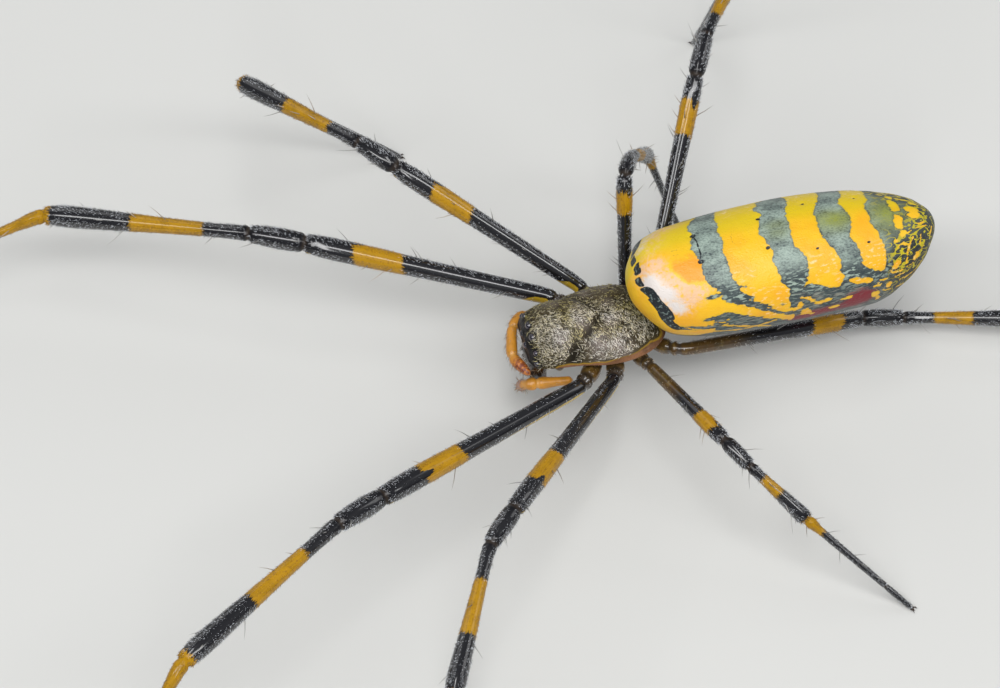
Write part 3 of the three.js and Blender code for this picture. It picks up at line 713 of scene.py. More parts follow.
class Finish:
    """A material with one Principled shader, and the few ways its nodes are made."""

    def __init__(self, name, **fixed):
        self.material = bpy.data.materials.new(name)
        self.material.use_nodes = True
        self.tree = self.material.node_tree
        self.shader = self.tree.nodes["Principled BSDF"]
        for key, value in fixed.items():
            self.shader.inputs[key.replace("_", " ")].default_value = value
        self.place = self.node("ShaderNodeTexCoord", output="Object")

    def node(self, kind, settings=None, sockets=None, output=0):
        made = self.tree.nodes.new(kind)
        for key, value in (settings or {}).items():
            setattr(made, key, value)
        for key, value in (sockets or {}).items():
            if isinstance(value, Wire):
                self.tree.links.new(value.socket, made.inputs[key])
            else:
                made.inputs[key].default_value = value
        return Wire(self, made.outputs[output])

    def read(self, name):
        return self.node("ShaderNodeAttribute", dict(attribute_name=name), output="Fac")

    def scaled(self, scale=(1, 1, 1), turn=0):
        """The place on the piece, scaled, then turned by `turn` degrees about the upright axis."""
        sockets = {"Vector": self.place, "Scale": scale, "Rotation": (0, 0, math.radians(turn))}
        return self.node("ShaderNodeMapping", None, sockets)

    def noise(self, size, detail=3.0, stretch=(1, 1, 1), turn=0):
        """Random values about 0.5, with spots of `size` millimetres."""
        sockets = {"Vector": self.scaled(stretch, turn), "Scale": 1 / (size * MM), "Detail": detail}
        return self.node("ShaderNodeTexNoise", None, sockets)

    def cells(self, size):
        """Distance to the nearest of many scattered points, `size` millimetres apart."""
        sockets = {"Vector": self.scaled(), "Scale": 1 / (size * MM)}
        return self.node("ShaderNodeTexVoronoi", None, sockets, "Distance")

    def lengthwise(self, size, stretch):
        """Random values drawn out along a limb, `size` millimetres across."""
        place = {0: self.read("run") * stretch, 1: self.read("cosine"), 2: self.read("sine")}
        where = self.node("ShaderNodeCombineXYZ", None, place)
        return self.node("ShaderNodeTexNoise", None, {"Vector": where, "Scale": 0.6 / size, "Detail": 3.0})

    def mix(self, share, first, second):
        """A colour between two colours."""
        pair = [value if isinstance(value, Wire) else (*value, 1.0) for value in (first, second)]
        return self.node("ShaderNodeMix", dict(data_type="RGBA"), {0: share, 6: pair[0], 7: pair[1]}, 2)

    def bump(self, height, depth, strength=1.0):
        """A normal raised by height times `depth` millimetres."""
        sockets = {"Height": height, "Distance": depth * MM, "Strength": strength}
        return self.node("ShaderNodeBump", None, sockets, "Normal")

    def feed(self, **sockets):
        for key, value in sockets.items():
            self.tree.links.new(value.socket, self.shader.inputs[key.replace("_", " ")])
        return self.material


# Markings of the abdomen. A place is (percent of its length from the front, degrees from the midline).
# Each dorsal bar has (degrees, front edge, rear edge) stations, and how far down the side it reaches.
BARS = [
    ([(0, 20.7, 31), (12, 21.5, 30.2), (16, 22.5, 30.4), (25, 21.9, 30.7), (35, 22.9, 30.8), (45, 25.2, 32.2),
      (52, 27.4, 32.9), (60, 30.6, 36.3)], 62),
    ([(0, 42.6, 52.6), (12, 43.6, 52.4), (22, 45.1, 53), (30, 43.9, 54.4), (38, 45.2, 55), (50, 45.7, 54.5),
      (58, 48.2, 53.3), (66, 47.6, 52)], 80),
    ([(0, 61.4, 71.5), (10, 60.8, 70.9), (20, 62.3, 70), (30, 64.2, 71.4), (45, 65.4, 72.7), (52, 65.4, 71.7),
      (58, 66.4, 75.8), (66, 64.4, 78.2)], 80),
    ([(0, 78, 120), (12, 77.9, 120), (20, 79.5, 120), (30, 79.8, 120), (45, 80.3, 120), (60, 79.2, 120)],
     180),
]
# The lower edge of the dorsal yellow, as (percent, degrees)
YELLOW_EDGE = [
    (0, 34), (2.8, 42), (4.7, 47), (6.3, 54), (8.1, 61), (10, 70), (13.5, 80), (16.9, 83), (20.3, 79),
    (22.5, 76), (25.8, 72), (28.9, 72.5), (32, 77), (35.7, 82.5), (39.4, 88), (43.1, 94), (46.8, 100),
    (49, 102), (49.5, 86), (50.6, 82), (51, 70), (53.5, 58), (56.8, 61), (59.8, 66), (62.9, 68),
    (65.4, 64), (67.4, 60), (71.3, 46), (74.1, 54), (76.5, 58), (78.7, 60), (80.5, 55), (84.2, 50),
    (100, 45),
]
# Yellow streaks as (half width in mm, places), and yellow spots as (percent, degrees, half length and
# half height in mm)
YELLOW_STREAKS = [
    (0.10, [(14, 89), (18.9, 94), (25.3, 101), (33.3, 103.5), (38, 100), (43, 96)]),
    (0.10, [(25, 88), (28.8, 92), (32.3, 96), (35.7, 100), (38.7, 104), (41.6, 110)]),
    (0.07, [(16.9, 86.5), (19.9, 83), (22.9, 82), (25.8, 84), (27.8, 87)]),
    (0.05, [(26.8, 82), (28.8, 79.5), (30.3, 78)]),
    (0.16, [(40.7, 75), (44.6, 79.5), (48.1, 83.5), (50.3, 82.5), (50.9, 77.5)]),
    (0.14, [(51.5, 70.5), (53.5, 73), (55.5, 79.5), (58, 82.5), (60.2, 80.5)]),
    (0.22, [(68.7, 62.5), (70.8, 65.5), (74.3, 67)]),
    (0.05, [(77.3, 70), (80.2, 72.5), (84.2, 76), (88.1, 81)]),
    (0.07, [(84.7, 85), (87.6, 90), (90.6, 93), (93.1, 92)]),
    (0.04, [(78.2, 86), (81.2, 91), (84.2, 97), (86.2, 104)]),
    (0.10, [(86.9, 66), (87.7, 55), (89.1, 45), (90.3, 38)]),
    (0.07, [(92.6, 54), (93.1, 47), (93.5, 40)]),
    (0.07, [(97, 60), (97.4, 50), (97.6, 40)]),
    (0.06, [(88.1, 31), (91.1, 28), (95.1, 29), (97, 33)]),
    (0.05, [(84.2, 44), (86.2, 41), (88.6, 44)]),
    (0.05, [(90.1, 60), (92.1, 64), (94.6, 60)]),
    (0.05, [(80.7, 64), (83.2, 69), (86.2, 72), (89.1, 73)]),
    (0.06, [(87.1, 108), (90.1, 104), (93.1, 106)]),
]
YELLOW_SPOTS = [
    (83.4, 60, 0.30, 0.30), (90.4, 68, 0.27, 0.30), (80.5, 82, 0.22, 0.26), (75.6, 88, 0.24, 0.30),
    (76.6, 97, 0.18, 0.28), (76.1, 76, 0.36, 0.13), (65.7, 83, 0.34, 0.13), (52.2, 91.5, 0.36, 0.28),
    (61.8, 94, 0.36, 0.14), (86.8, 13, 0.28, 0.60), (92.3, 6, 0.42, 0.45), (94.3, 22, 0.30, 0.16),
    (87.1, 29, 0.24, 0.26), (84.4, 36, 0.14, 0.12), (54.5, 98, 0.2, 0.1),
]
# Dark streaks over the yellow, and black marks, as (half width in mm, places)
DARK_STREAKS = [
    (0.20, [(27.3, 54), (30.8, 60.5), (34.7, 65.5), (38.2, 72.5), (41.3, 78), (44.4, 83), (46.9, 86.5),
            (50.6, 91)]),
    (0.10, [(19.9, 78), (22.9, 76.5), (26.8, 75), (29.8, 77)]),
    (0.34, [(28.3, 84.5), (31.8, 86), (34.7, 90), (38.7, 95), (42.6, 99.5), (45.6, 104)]),
    (0.20, [(11, 92), (14.9, 91), (18.9, 91), (22.9, 89.5), (24.8, 88)]),
    (0.05, [(44.3, 73.5), (46.6, 73)]),
    (0.08, [(21.9, 52.5), (24.8, 51), (27.8, 49)]),
    (0.06, [(30.8, 47), (32.7, 46.5), (34.7, 47)]),
]
BLACK_BLOTCHES = [
    (0.36, [(4.2, 42), (5.2, 48), (6.2, 55)]),
    (0.42, [(6.3, 59), (7.6, 66), (8.6, 74)]),
    (0.30, [(7.8, 62), (9.0, 68), (10.0, 76)]),
    (0.36, [(8.4, 78), (9.8, 86), (11.6, 93)]),
    (0.17, [(3.1, 34), (2.8, 27), (2.7, 18)]),
    (0.19, [(3.3, 8), (3.1, 0)]),
]
BLACK_LINES = [
    (0.05, [(22.2, 14), (22.9, 8), (22.8, 0)]),
    (0.022, [(22.9, 2.5), (25.8, 2.5), (28.2, 2)]),
    (0.02, [(34.9, 8), (33.8, 4), (33.6, 0)]),
    (0.018, [(13.8, 3.5), (16.2, 3)]),
]
# The small pits of the back, as (percent, degrees, radius in mm)
SIGILLA = [(22.4, 15.5, 0.19), (43.8, 16.5, 0.14), (59, 26, 0.12), (75.9, 27.5, 0.11)]
SIGILLUM_PIT = 0.05
AMBER_START = [(0, 15.5), (5, 13.2), (20, 12.9), (34, 15.4), (40, 18)]     # as (degrees, percent)
AMBER_END = 24
# How far down the front yellow reaches, as (percent, degrees), and where it ends, in percent
FRONT_REACH = [(0, 150), (5, 140), (10, 121), (16.9, 113), (24.8, 98)]
FRONT_END = 23.4
BELLY_STRIPES = [
    (0.16, [(22, 150), (34, 146), (46, 150), (58, 147)]),
    (0.12, [(30, 128), (44, 131), (56, 128)]),
]
# Soft patches as (percent, degrees, half length in percent, half height in degrees, strength)
# The cream and rose patches are partly pale pigment and partly painted sheen
CREAM_SHEEN_PATCHES = [(6.0, 30, 3.8, 14, 1), (9.3, 46, 4.4, 11, 1), (12.8, 62, 3.6, 9, 0.9)]
ROSE_SHEEN_PATCHES = [(6.5, 6, 5.5, 17, 1), (17.5, 45, 6.5, 9, 1), (13.5, 58, 6, 15, 0.8), (11.5, 32, 5, 16, 0.9)]
OLIVE_PATCHES = [(66.4, 0, 7, 11, 1), (84.2, 0, 6, 24, 1), (48.6, 4, 5, 7, 0.35)]
RED_PATCHES = [(70.8, 87, 5.5, 13, 1), (59.5, 97, 10, 9, 0.75), (51.5, 103, 5, 8, 0.6), (69.3, 165, 6, 25, 1)]
DEGREE = 0.0625                    # one degree round the abdomen, in mm
PERCENT = ABDOMEN_LENGTH / 100
OUTSIDE = -9.0                     # a depth far outside any mark, in mm


def line_depth(a, b, half_width, stations, taper=0.35):
    """Depth in mm inside a line drawn smoothly through a few places, thinner towards its ends."""
    count = len(stations)
    k = np.linspace(0, count - 1, 4 * (count - 1) + 1)
    xs = smooth([(i, p[0]) for i, p in enumerate(stations)], k) * PERCENT
    ys = smooth([(i, p[1]) for i, p in enumerate(stations)], k) * DEGREE
    ends = np.minimum(k, count - 1 - k) / max(count - 1, 1)
    widths = half_width * (1 - taper + taper * np.clip(ends * 5, 0, 1))
    best = np.full(len(a), OUTSIDE)
    for i in range(len(k) - 1):
        t, away = nearest(a, b, (xs[i], ys[i]), (xs[i + 1], ys[i + 1]))
        best = np.maximum(best, widths[i] + t * (widths[i + 1] - widths[i]) - away)
    return best


def spot_depth(a, b, percent, degrees, long, tall):
    """Depth in mm inside an oval spot."""
    away = np.hypot((a - percent * PERCENT) / long, (b - degrees * DEGREE) / tall)
    return (1 - away) * min(long, tall)


def patches(a, b, found):
    """Soft patches added up, each at its full strength in its middle."""
    total = np.zeros(len(a))
    for percent, degrees, long, tall, strength in found:
        x = (a / PERCENT - percent) / long
        y = (b / DEGREE - degrees) / tall
        total += strength * np.exp(-(x**2) - y**2)
    return total


def abdomen_marks(share, degrees):
    """The abdomen's markings as values for each place. Depths are in mm, positive inside the mark."""
    turn = np.radians(degrees)
    sheet = np.c_[share * ABDOMEN_LENGTH, 3.6 * np.sin(turn), 3.6 * np.cos(turn)]
    wander = mottle(sheet, 1.5, seed=11) - 0.5
    drift = mottle(sheet, 1.5, seed=12) - 0.5
    a = share * ABDOMEN_LENGTH + 0.34 * wander
    b = np.abs(degrees) * DEGREE + 0.28 * drift
    side = np.abs(degrees)
    percent = a / PERCENT
    yellow = (smooth(YELLOW_EDGE, percent) - b / DEGREE) * DEGREE
    front = np.minimum(FRONT_END - percent, 1.0) * PERCENT
    front = np.minimum(front, (smooth(FRONT_REACH, percent) - side) * DEGREE)
    yellow = np.maximum(yellow, front)
    for stations, lowest in BARS:
        opening = smooth([(d, x) for d, x, _ in stations], b / DEGREE)
        closing = smooth([(d, x) for d, _, x in stations], b / DEGREE)
        outside = np.maximum((opening - percent) * PERCENT, (percent - closing) * PERCENT)
        outside = np.maximum(outside, (b / DEGREE - lowest) * DEGREE)
        yellow = np.minimum(yellow, outside)
    for half_width, stations in DARK_STREAKS:
        yellow = np.minimum(yellow, -line_depth(a, b, half_width, stations))
    for half_width, stations in YELLOW_STREAKS + BELLY_STRIPES:
        yellow = np.maximum(yellow, line_depth(a, b, half_width, stations))
    for spot in YELLOW_SPOTS:
        yellow = np.maximum(yellow, spot_depth(a, b, *spot))
    black = np.full(len(a), OUTSIDE)
    for half_width, stations in BLACK_BLOTCHES:
        black = np.maximum(black, line_depth(a, b, half_width, stations, 0.1))
    plain_a, plain_b = share * ABDOMEN_LENGTH, side * DEGREE
    for half_width, stations in BLACK_LINES:
        black = np.maximum(black, line_depth(plain_a, plain_b, half_width, stations))
    for at, off, radius in SIGILLA:
        black = np.maximum(black, spot_depth(plain_a, plain_b, at, off, radius, radius * 0.7))
    left = degrees > 0
    # Painted sheen: the cream and rose patches are full on the lit left side and weaker on the far right side
    near = np.where(left, 1.0, 0.45)
    amber = np.minimum(percent - smooth(AMBER_START, b / DEGREE), AMBER_END - percent) * PERCENT
    amber = np.minimum(amber, np.minimum((b / DEGREE - 2) * 0.4, 37 - b / DEGREE) * DEGREE)
    return {
        "yellow": yellow,
        "black": black,
        # Painted light: 1 on the lit left side, 0 on the far right side, which takes the yellow with painted
        # shade
        "left": fade(degrees + 10 * drift, -20, 10),
        "cream": np.clip(patches(a, b, CREAM_SHEEN_PATCHES) * near, 0, 1),
        "rosy": np.clip(patches(a, b, ROSE_SHEEN_PATCHES) * near, 0, 1),
        "amber": np.where(left, amber, -1.0),
        "olive": np.clip(patches(a, b, OLIVE_PATCHES), 0, 1),
        "red": np.clip(patches(a, b, RED_PATCHES), 0, 1),
        "pale_bar": 1 - fade(side + 14 * wander, 28, 58),
        "rear": fade(percent, 78, 84),
        "flank": fade(side, 56, 74),
        "belly": fade(side, 108, 122) * fade(percent, 5, 12),
        # Where the painted glints of the fine texture lie, on the upper sides
        "flecked": fade(side, 24, 38) * (1 - fade(side, 82, 96)) * fade(percent, 24, 30),
    }


# Shades that the abdomen's finish mixes in beside the colours of the panel
# Painted highlight: pale glints of the fine texture on the yellow
GLINT_FLECK = (0.90, 0.72, 0.42)
GOLD_EDGE = (0.50, 0.37, 0.01)
PALE_DASH = (0.40, 0.50, 0.42)
FLANK_THREAD = (0.32, 0.31, 0.25)
REAR_VEIL = (0.014, 0.016, 0.016)
REAR_NET = (0.50, 0.42, 0.01)
BLOTCH = (0.008, 0.012, 0.016)
BLOTCH_SPECK = (0.20, 0.26, 0.24)
BELLY = (0.030, 0.022, 0.014)
BELLY_STRIPE = (0.42, 0.30, 0.05)


def abdomen_finish():
    c = colours()
    skin = Finish("abdomen_skin", Specular_IOR_Level=0.42, Coat_Roughness=0.3, Coat_Weight=0.05)
    ragged = skin.noise(0.7, 3.0, (1, 0.6, 1)) - 0.5
    fine = skin.noise(0.2, 4.0) - 0.5
    teeth = skin.noise(0.22, 3.0, (1, 0.5, 1)) - 0.5
    grain = skin.noise(0.11, 4.0, (1, 0.16, 1))
    cloud = skin.noise(2.2, 3.0)
    pale, flank, rear = skin.read("pale_bar"), skin.read("flank"), skin.read("rear")
    edge = skin.read("yellow") + ragged * 0.2 + fine * 0.2 + teeth * 0.3 + (grain - 0.5) * flank * 0.3
    yellow = edge.step(-0.02, 0.02)

    warm = skin.mix(cloud.step(0.35, 0.65), c.gold, tuple(0.5 * (g + a) for g, a in zip(c.gold, c.amber)))
    # Painted shade: the far right side takes the greener shaded yellow, the lit left side the gold
    gold = skin.mix(skin.read("left"), c.shaded_yellow, warm)
    gold = skin.mix((skin.read("amber") + fine * 0.3 + ragged * 0.4).step(0.0, 0.3), gold, c.amber)
    # Rose and cream over the front: pale pigment with painted sheen, strongest on the lit left side
    rosy = skin.read("rosy") * (0.75 + fine * 2.2 + teeth * 1.2)
    rosy = rosy * (1 - skin.read("amber").step(-0.1, 0.15) * 0.85)
    gold = skin.mix(rosy.step(0.1, 0.8), gold, c.rose_sheen)
    gold = skin.mix((skin.read("cream") + fine * 0.7 + teeth * 0.4).step(0.15, 0.95), gold, c.cream)
    # Painted highlight: small pale glints of the fine texture on the yellow of the upper sides
    glint_fleck = skin.noise(0.15, 2.0, (1, 0.4, 1), 15).step(0.56, 0.66)
    gold = skin.mix(glint_fleck * skin.read("flecked") * cloud.step(0.35, 0.6) * 0.6, gold, GLINT_FLECK)
    gold = skin.mix(edge.step(0.16, 0.0) * 0.4, gold, GOLD_EDGE)

    scale = skin.noise(0.085, 2.0, (1, 0.6, 1), -20)
    tone = scale.step(0.28, 0.62) * 0.45 + skin.noise(0.7, 5.0, (1, 0.5, 1)).step(0.3, 0.65) * 0.55
    grey = skin.mix(tone * (pale * 0.75 + 0.1), c.shade, c.bar)
    slant = skin.noise(0.13, 2.0, (1, 0.3, 1), 34)
    grey = skin.mix(slant.step(0.5, 0.6) * (1 - pale * 0.85) * (0.75 - flank * 0.5), grey, PALE_DASH)
    thread = grain.step(0.5, 0.62) * flank * 0.6
    grey = skin.mix(thread, grey, FLANK_THREAD)
    grey = skin.mix(skin.read("olive") * (0.35 + scale * 1.0), grey, c.olive)
    grey = skin.mix((edge + fine * 0.2).step(-0.14, 0.02) * 0.5, grey, c.shade)
    red = (skin.read("red") * (grain * 1.5)).step(0.15, 0.6)
    grey = skin.mix(red, grey, c.crimson)

    sheet = skin.noise(0.46, 1.5, (1, 0.5, 1), -18) - 0.5
    squiggle = (sheet * sheet).step(0.0008, 0.0002) * (1 - flank * 0.45)
    crumb = skin.noise(0.22, 2.0, (1, 0.45, 1)).step(0.6, 0.64)
    net = squiggle.most(crumb) * (1 - skin.read("olive"))
    veil = rear * (1 - skin.read("olive")) * 0.95
    ink = skin.mix(veil * (0.75 + scale * 0.3), grey, REAR_VEIL)
    ink = skin.mix(net * rear, ink, REAR_NET)
    marked = skin.mix(yellow, ink, gold)
    black = (skin.read("black") + fine * 0.12 + ragged * 0.1).step(-0.01, 0.02)
    speckle = skin.noise(0.17, 2.0).step(0.54, 0.64) * (skin.read("black") - 0.03).step(0, 0.08)
    blotch = skin.mix(speckle * 0.7, BLOTCH, BLOTCH_SPECK)
    marked = skin.mix(black, marked, blotch)
    dull = skin.mix(yellow * 0.75, BELLY, BELLY_STRIPE)
    marked = skin.mix(skin.read("belly"), marked, skin.mix(red * 0.8, dull, c.crimson))

    pores = skin.cells(0.13).step(0.0, 0.5)
    relief = pores * 0.4 + scale * 0.8 + grain * 0.6 + skin.noise(0.6, 4.0) * 1.4 - black * 0.5
    rough = 0.42 + fine * 0.3 + (1 - yellow) * 0.06
    return skin.feed(Base_Color=marked, Roughness=rough, Normal=skin.bump(relief, 0.026))


class SPIDER_OT_abdomen(bpy.types.Operator):
    """Models the abdomen and its markings"""
    bl_idname = "spider.abdomen"
    bl_label = "Abdomen"

    SIDES = 32
    RINGS = 46
    LEVELS = 3
    POLE = 0.06                        # the smallest ring, at either end

    def execute(self, context):
        shape = ABDOMEN_SHAPE
        t = (1 - np.cos(np.pi * (np.arange(self.RINGS) + 0.45) / (self.RINGS - 0.1))) / 2
        half = ABDOMEN_HALF_WIDTH * smooth([(u, w) for u, w, _ in shape], t) - sizes().coat_depth / MM
        half = np.maximum(half, self.POLE)
        axis = ABDOMEN_AXIS_Z + smooth([(u, r) for u, _, r in shape], t)
        tall = (ABDOMEN_UP + ABDOMEN_DOWN) / 2
        centre = axis + half * (ABDOMEN_UP - ABDOMEN_DOWN) / 2
        y = ABDOMEN_START + t * ABDOMEN_LENGTH
        full = fullness(self.SIDES)
        piece = ring_body(
            "abdomen_skin", y, centre, half * full, half * tall * full, self.SIDES, self.LEVELS)
        points = places(piece)
        share = np.clip((points[:, 1] - ABDOMEN_START) / ABDOMEN_LENGTH, 0, 1)
        middle = np.interp(share, t, centre)
        degrees = np.degrees(np.arctan2(points[:, 0], (points[:, 2] - middle) / tall))
        for name, values in abdomen_marks(share, degrees).items():
            note(piece, name, values)
        move_to(piece, points + outward(piece) * self.relief(share, degrees, points)[:, None])
        dress(piece, abdomen_finish(), ["abdomen"])
        return {"FINISHED"}

    def relief(self, share, degrees, points):
        """Pits at the sigilla, a soft heart line and shallow folds round the rear."""
        a, b = share * ABDOMEN_LENGTH, np.abs(degrees) * DEGREE
        height = np.zeros(len(a))
        for at, off, radius in SIGILLA:
            away = np.hypot(a - at * PERCENT, b - off * DEGREE)
            height -= SIGILLUM_PIT * bell(away, 1.6 * radius)
        height -= 0.03 * bell(degrees, 5) * fade(share, 0.12, 0.2) * (1 - fade(share, 0.7, 0.8))
        height += 0.05 * (mottle(points, 2.4, seed=21) - 0.5)
        folds = np.sin(share * ABDOMEN_LENGTH * 5.5 + 2.2 * mottle(points, 2.5, seed=22))
        return height + 0.012 * folds * fade(share, 0.74, 0.84) * fade(np.abs(degrees), 30, 60)


# Shades that the legs' finish mixes in
BAND_SPECK = (0.16, 0.055, 0.006)
HIP_SHADE = (0.07, 0.045, 0.012)
HIP_SPECK = (0.26, 0.17, 0.045)
JOINT_SKIN = (0.035, 0.025, 0.018)
UNDERLINE = (0.50, 0.33, 0.016)


def leg_finish():
    c = colours()
    skin = Finish("leg_skin", Specular_IOR_Level=0.12, Coat_IOR=1.7, Coat_Roughness=0.12)
    ragged = skin.noise(0.35, 4.0) - 0.5
    streak = skin.lengthwise(0.09, 0.12)
    fringe = skin.lengthwise(0.05, 0.3) - 0.5
    band = (skin.read("band") + ragged * 0.35 + fringe * 0.9).step(-0.03, 0.05)
    line = (skin.read("line") + ragged * 0.14 + fringe * 0.08).step(-0.02, 0.03)
    worn = skin.noise(0.8, 4.0)
    speck = skin.noise(0.13, 3.0).step(0.55, 0.68)
    orange = skin.mix((streak * 0.6 + worn * 0.6).step(0.5, 0.85) * 0.6, c.band, times(c.band, 0.42))
    orange = skin.mix(speck * 0.45, orange, BAND_SPECK)
    brown = skin.mix(worn.step(0.35, 0.7), c.hip, HIP_SHADE)
    brown = skin.mix(skin.noise(0.25, 3.0).step(0.5, 0.7) * 0.4, brown, HIP_SPECK)
    colour = skin.mix(skin.read("stain"), c.black, brown)
    colour = skin.mix(skin.read("joint") * 0.8, colour, JOINT_SKIN)
    colour = skin.mix(line * (0.25 + worn * 1.1), colour, UNDERLINE)
    colour = skin.mix(band, colour, orange)
    relief = streak * 0.5 + skin.noise(0.12, 3.0) * 0.5
    rough = 0.3 + band * 0.12 + (streak - 0.5) * 0.12 + skin.read("joint") * 0.1
    coat = (1 - band * 0.5 - skin.read("stain") * 0.3) * (1 - skin.read("knee") * 0.85)
    normal = skin.bump(relief, 0.02, 0.7)
    return skin.feed(Base_Color=colour, Roughness=rough, Coat_Weight=coat, Normal=normal)


class SPIDER_OT_legs(bpy.types.Operator):
    """Models the eight legs, each one skin from its hip to its claws"""
    bl_idname = "spider.legs"
    bl_label = "Legs"

    STEP = 0.11
    SIDES = 24

    def execute(self, context):
        finish = leg_finish()
        for leg in LEGS:
            piece = self.build(leg)
            s, around = noted(piece, "run"), noted(piece, "around")
            notes = {
                "band": leg.band(s, around), "line": leg.underline(s, around),
                "joint": np.clip(leg.joint_gap(s), 0, 1), "knee": leg.knees(s), "stain": leg.stain(s),
                "cosine": np.cos(around), "sine": np.sin(around),
            }
            for name, values in notes.items():
                note(piece, name, values)
            dress(piece, finish, leg.nodes())
        return {"FINISHED"}

    def build(self, leg):
        count = int(leg.limb.length / self.STEP)
        distances = np.linspace(0, leg.limb.length, count)
        return tube(f"leg_{leg.name}_skin", leg.limb, distances, leg.radius(distances), self.SIDES)


def on_skin(limb, radius, s, angle):
    """The places on a limb's skin at distances s and angles from its top: root, outward and along."""
    centre, along, up, over = limb.at(s)
    out = up * np.cos(angle)[:, None] + over * np.sin(angle)[:, None]
    return centre + out * radius(s)[:, None], out, along


def scatter(limb, radius, count, rng, start):
    """Random places on a limb's skin beyond `start`: distance, angle from the top, root, outward, along."""
    s = rng.uniform(start, limb.length, 3 * count)
    thick = radius(s)
    s = s[rng.random(len(s)) < thick / thick.max()][:count]
    angle = rng.uniform(-np.pi, np.pi, len(s))
    return (s, angle, *on_skin(limb, radius, s, angle))


def unrolled(limb, s, angle):
    """Places on a limb's skin laid out flat on the map."""
    return np.c_[s / limb.length, (angle / (2 * np.pi) + 0.5) % 1]


CLAW_BLACK = (0.008, 0.005, 0.004)
CLAW_BROWN = (0.05, 0.024, 0.01)


def hair_finish(name, dark, pale, gold):
    """Hairs that go from dark to pale by their tone, and pale ones that turn gold by their own value."""
    coat = Finish(name, Roughness=0.42, Specular_IOR_Level=0.6)
    shade = coat.mix(coat.read("tone"), dark, coat.mix(coat.read("gold"), pale, gold))
    return coat.feed(Base_Color=shade)


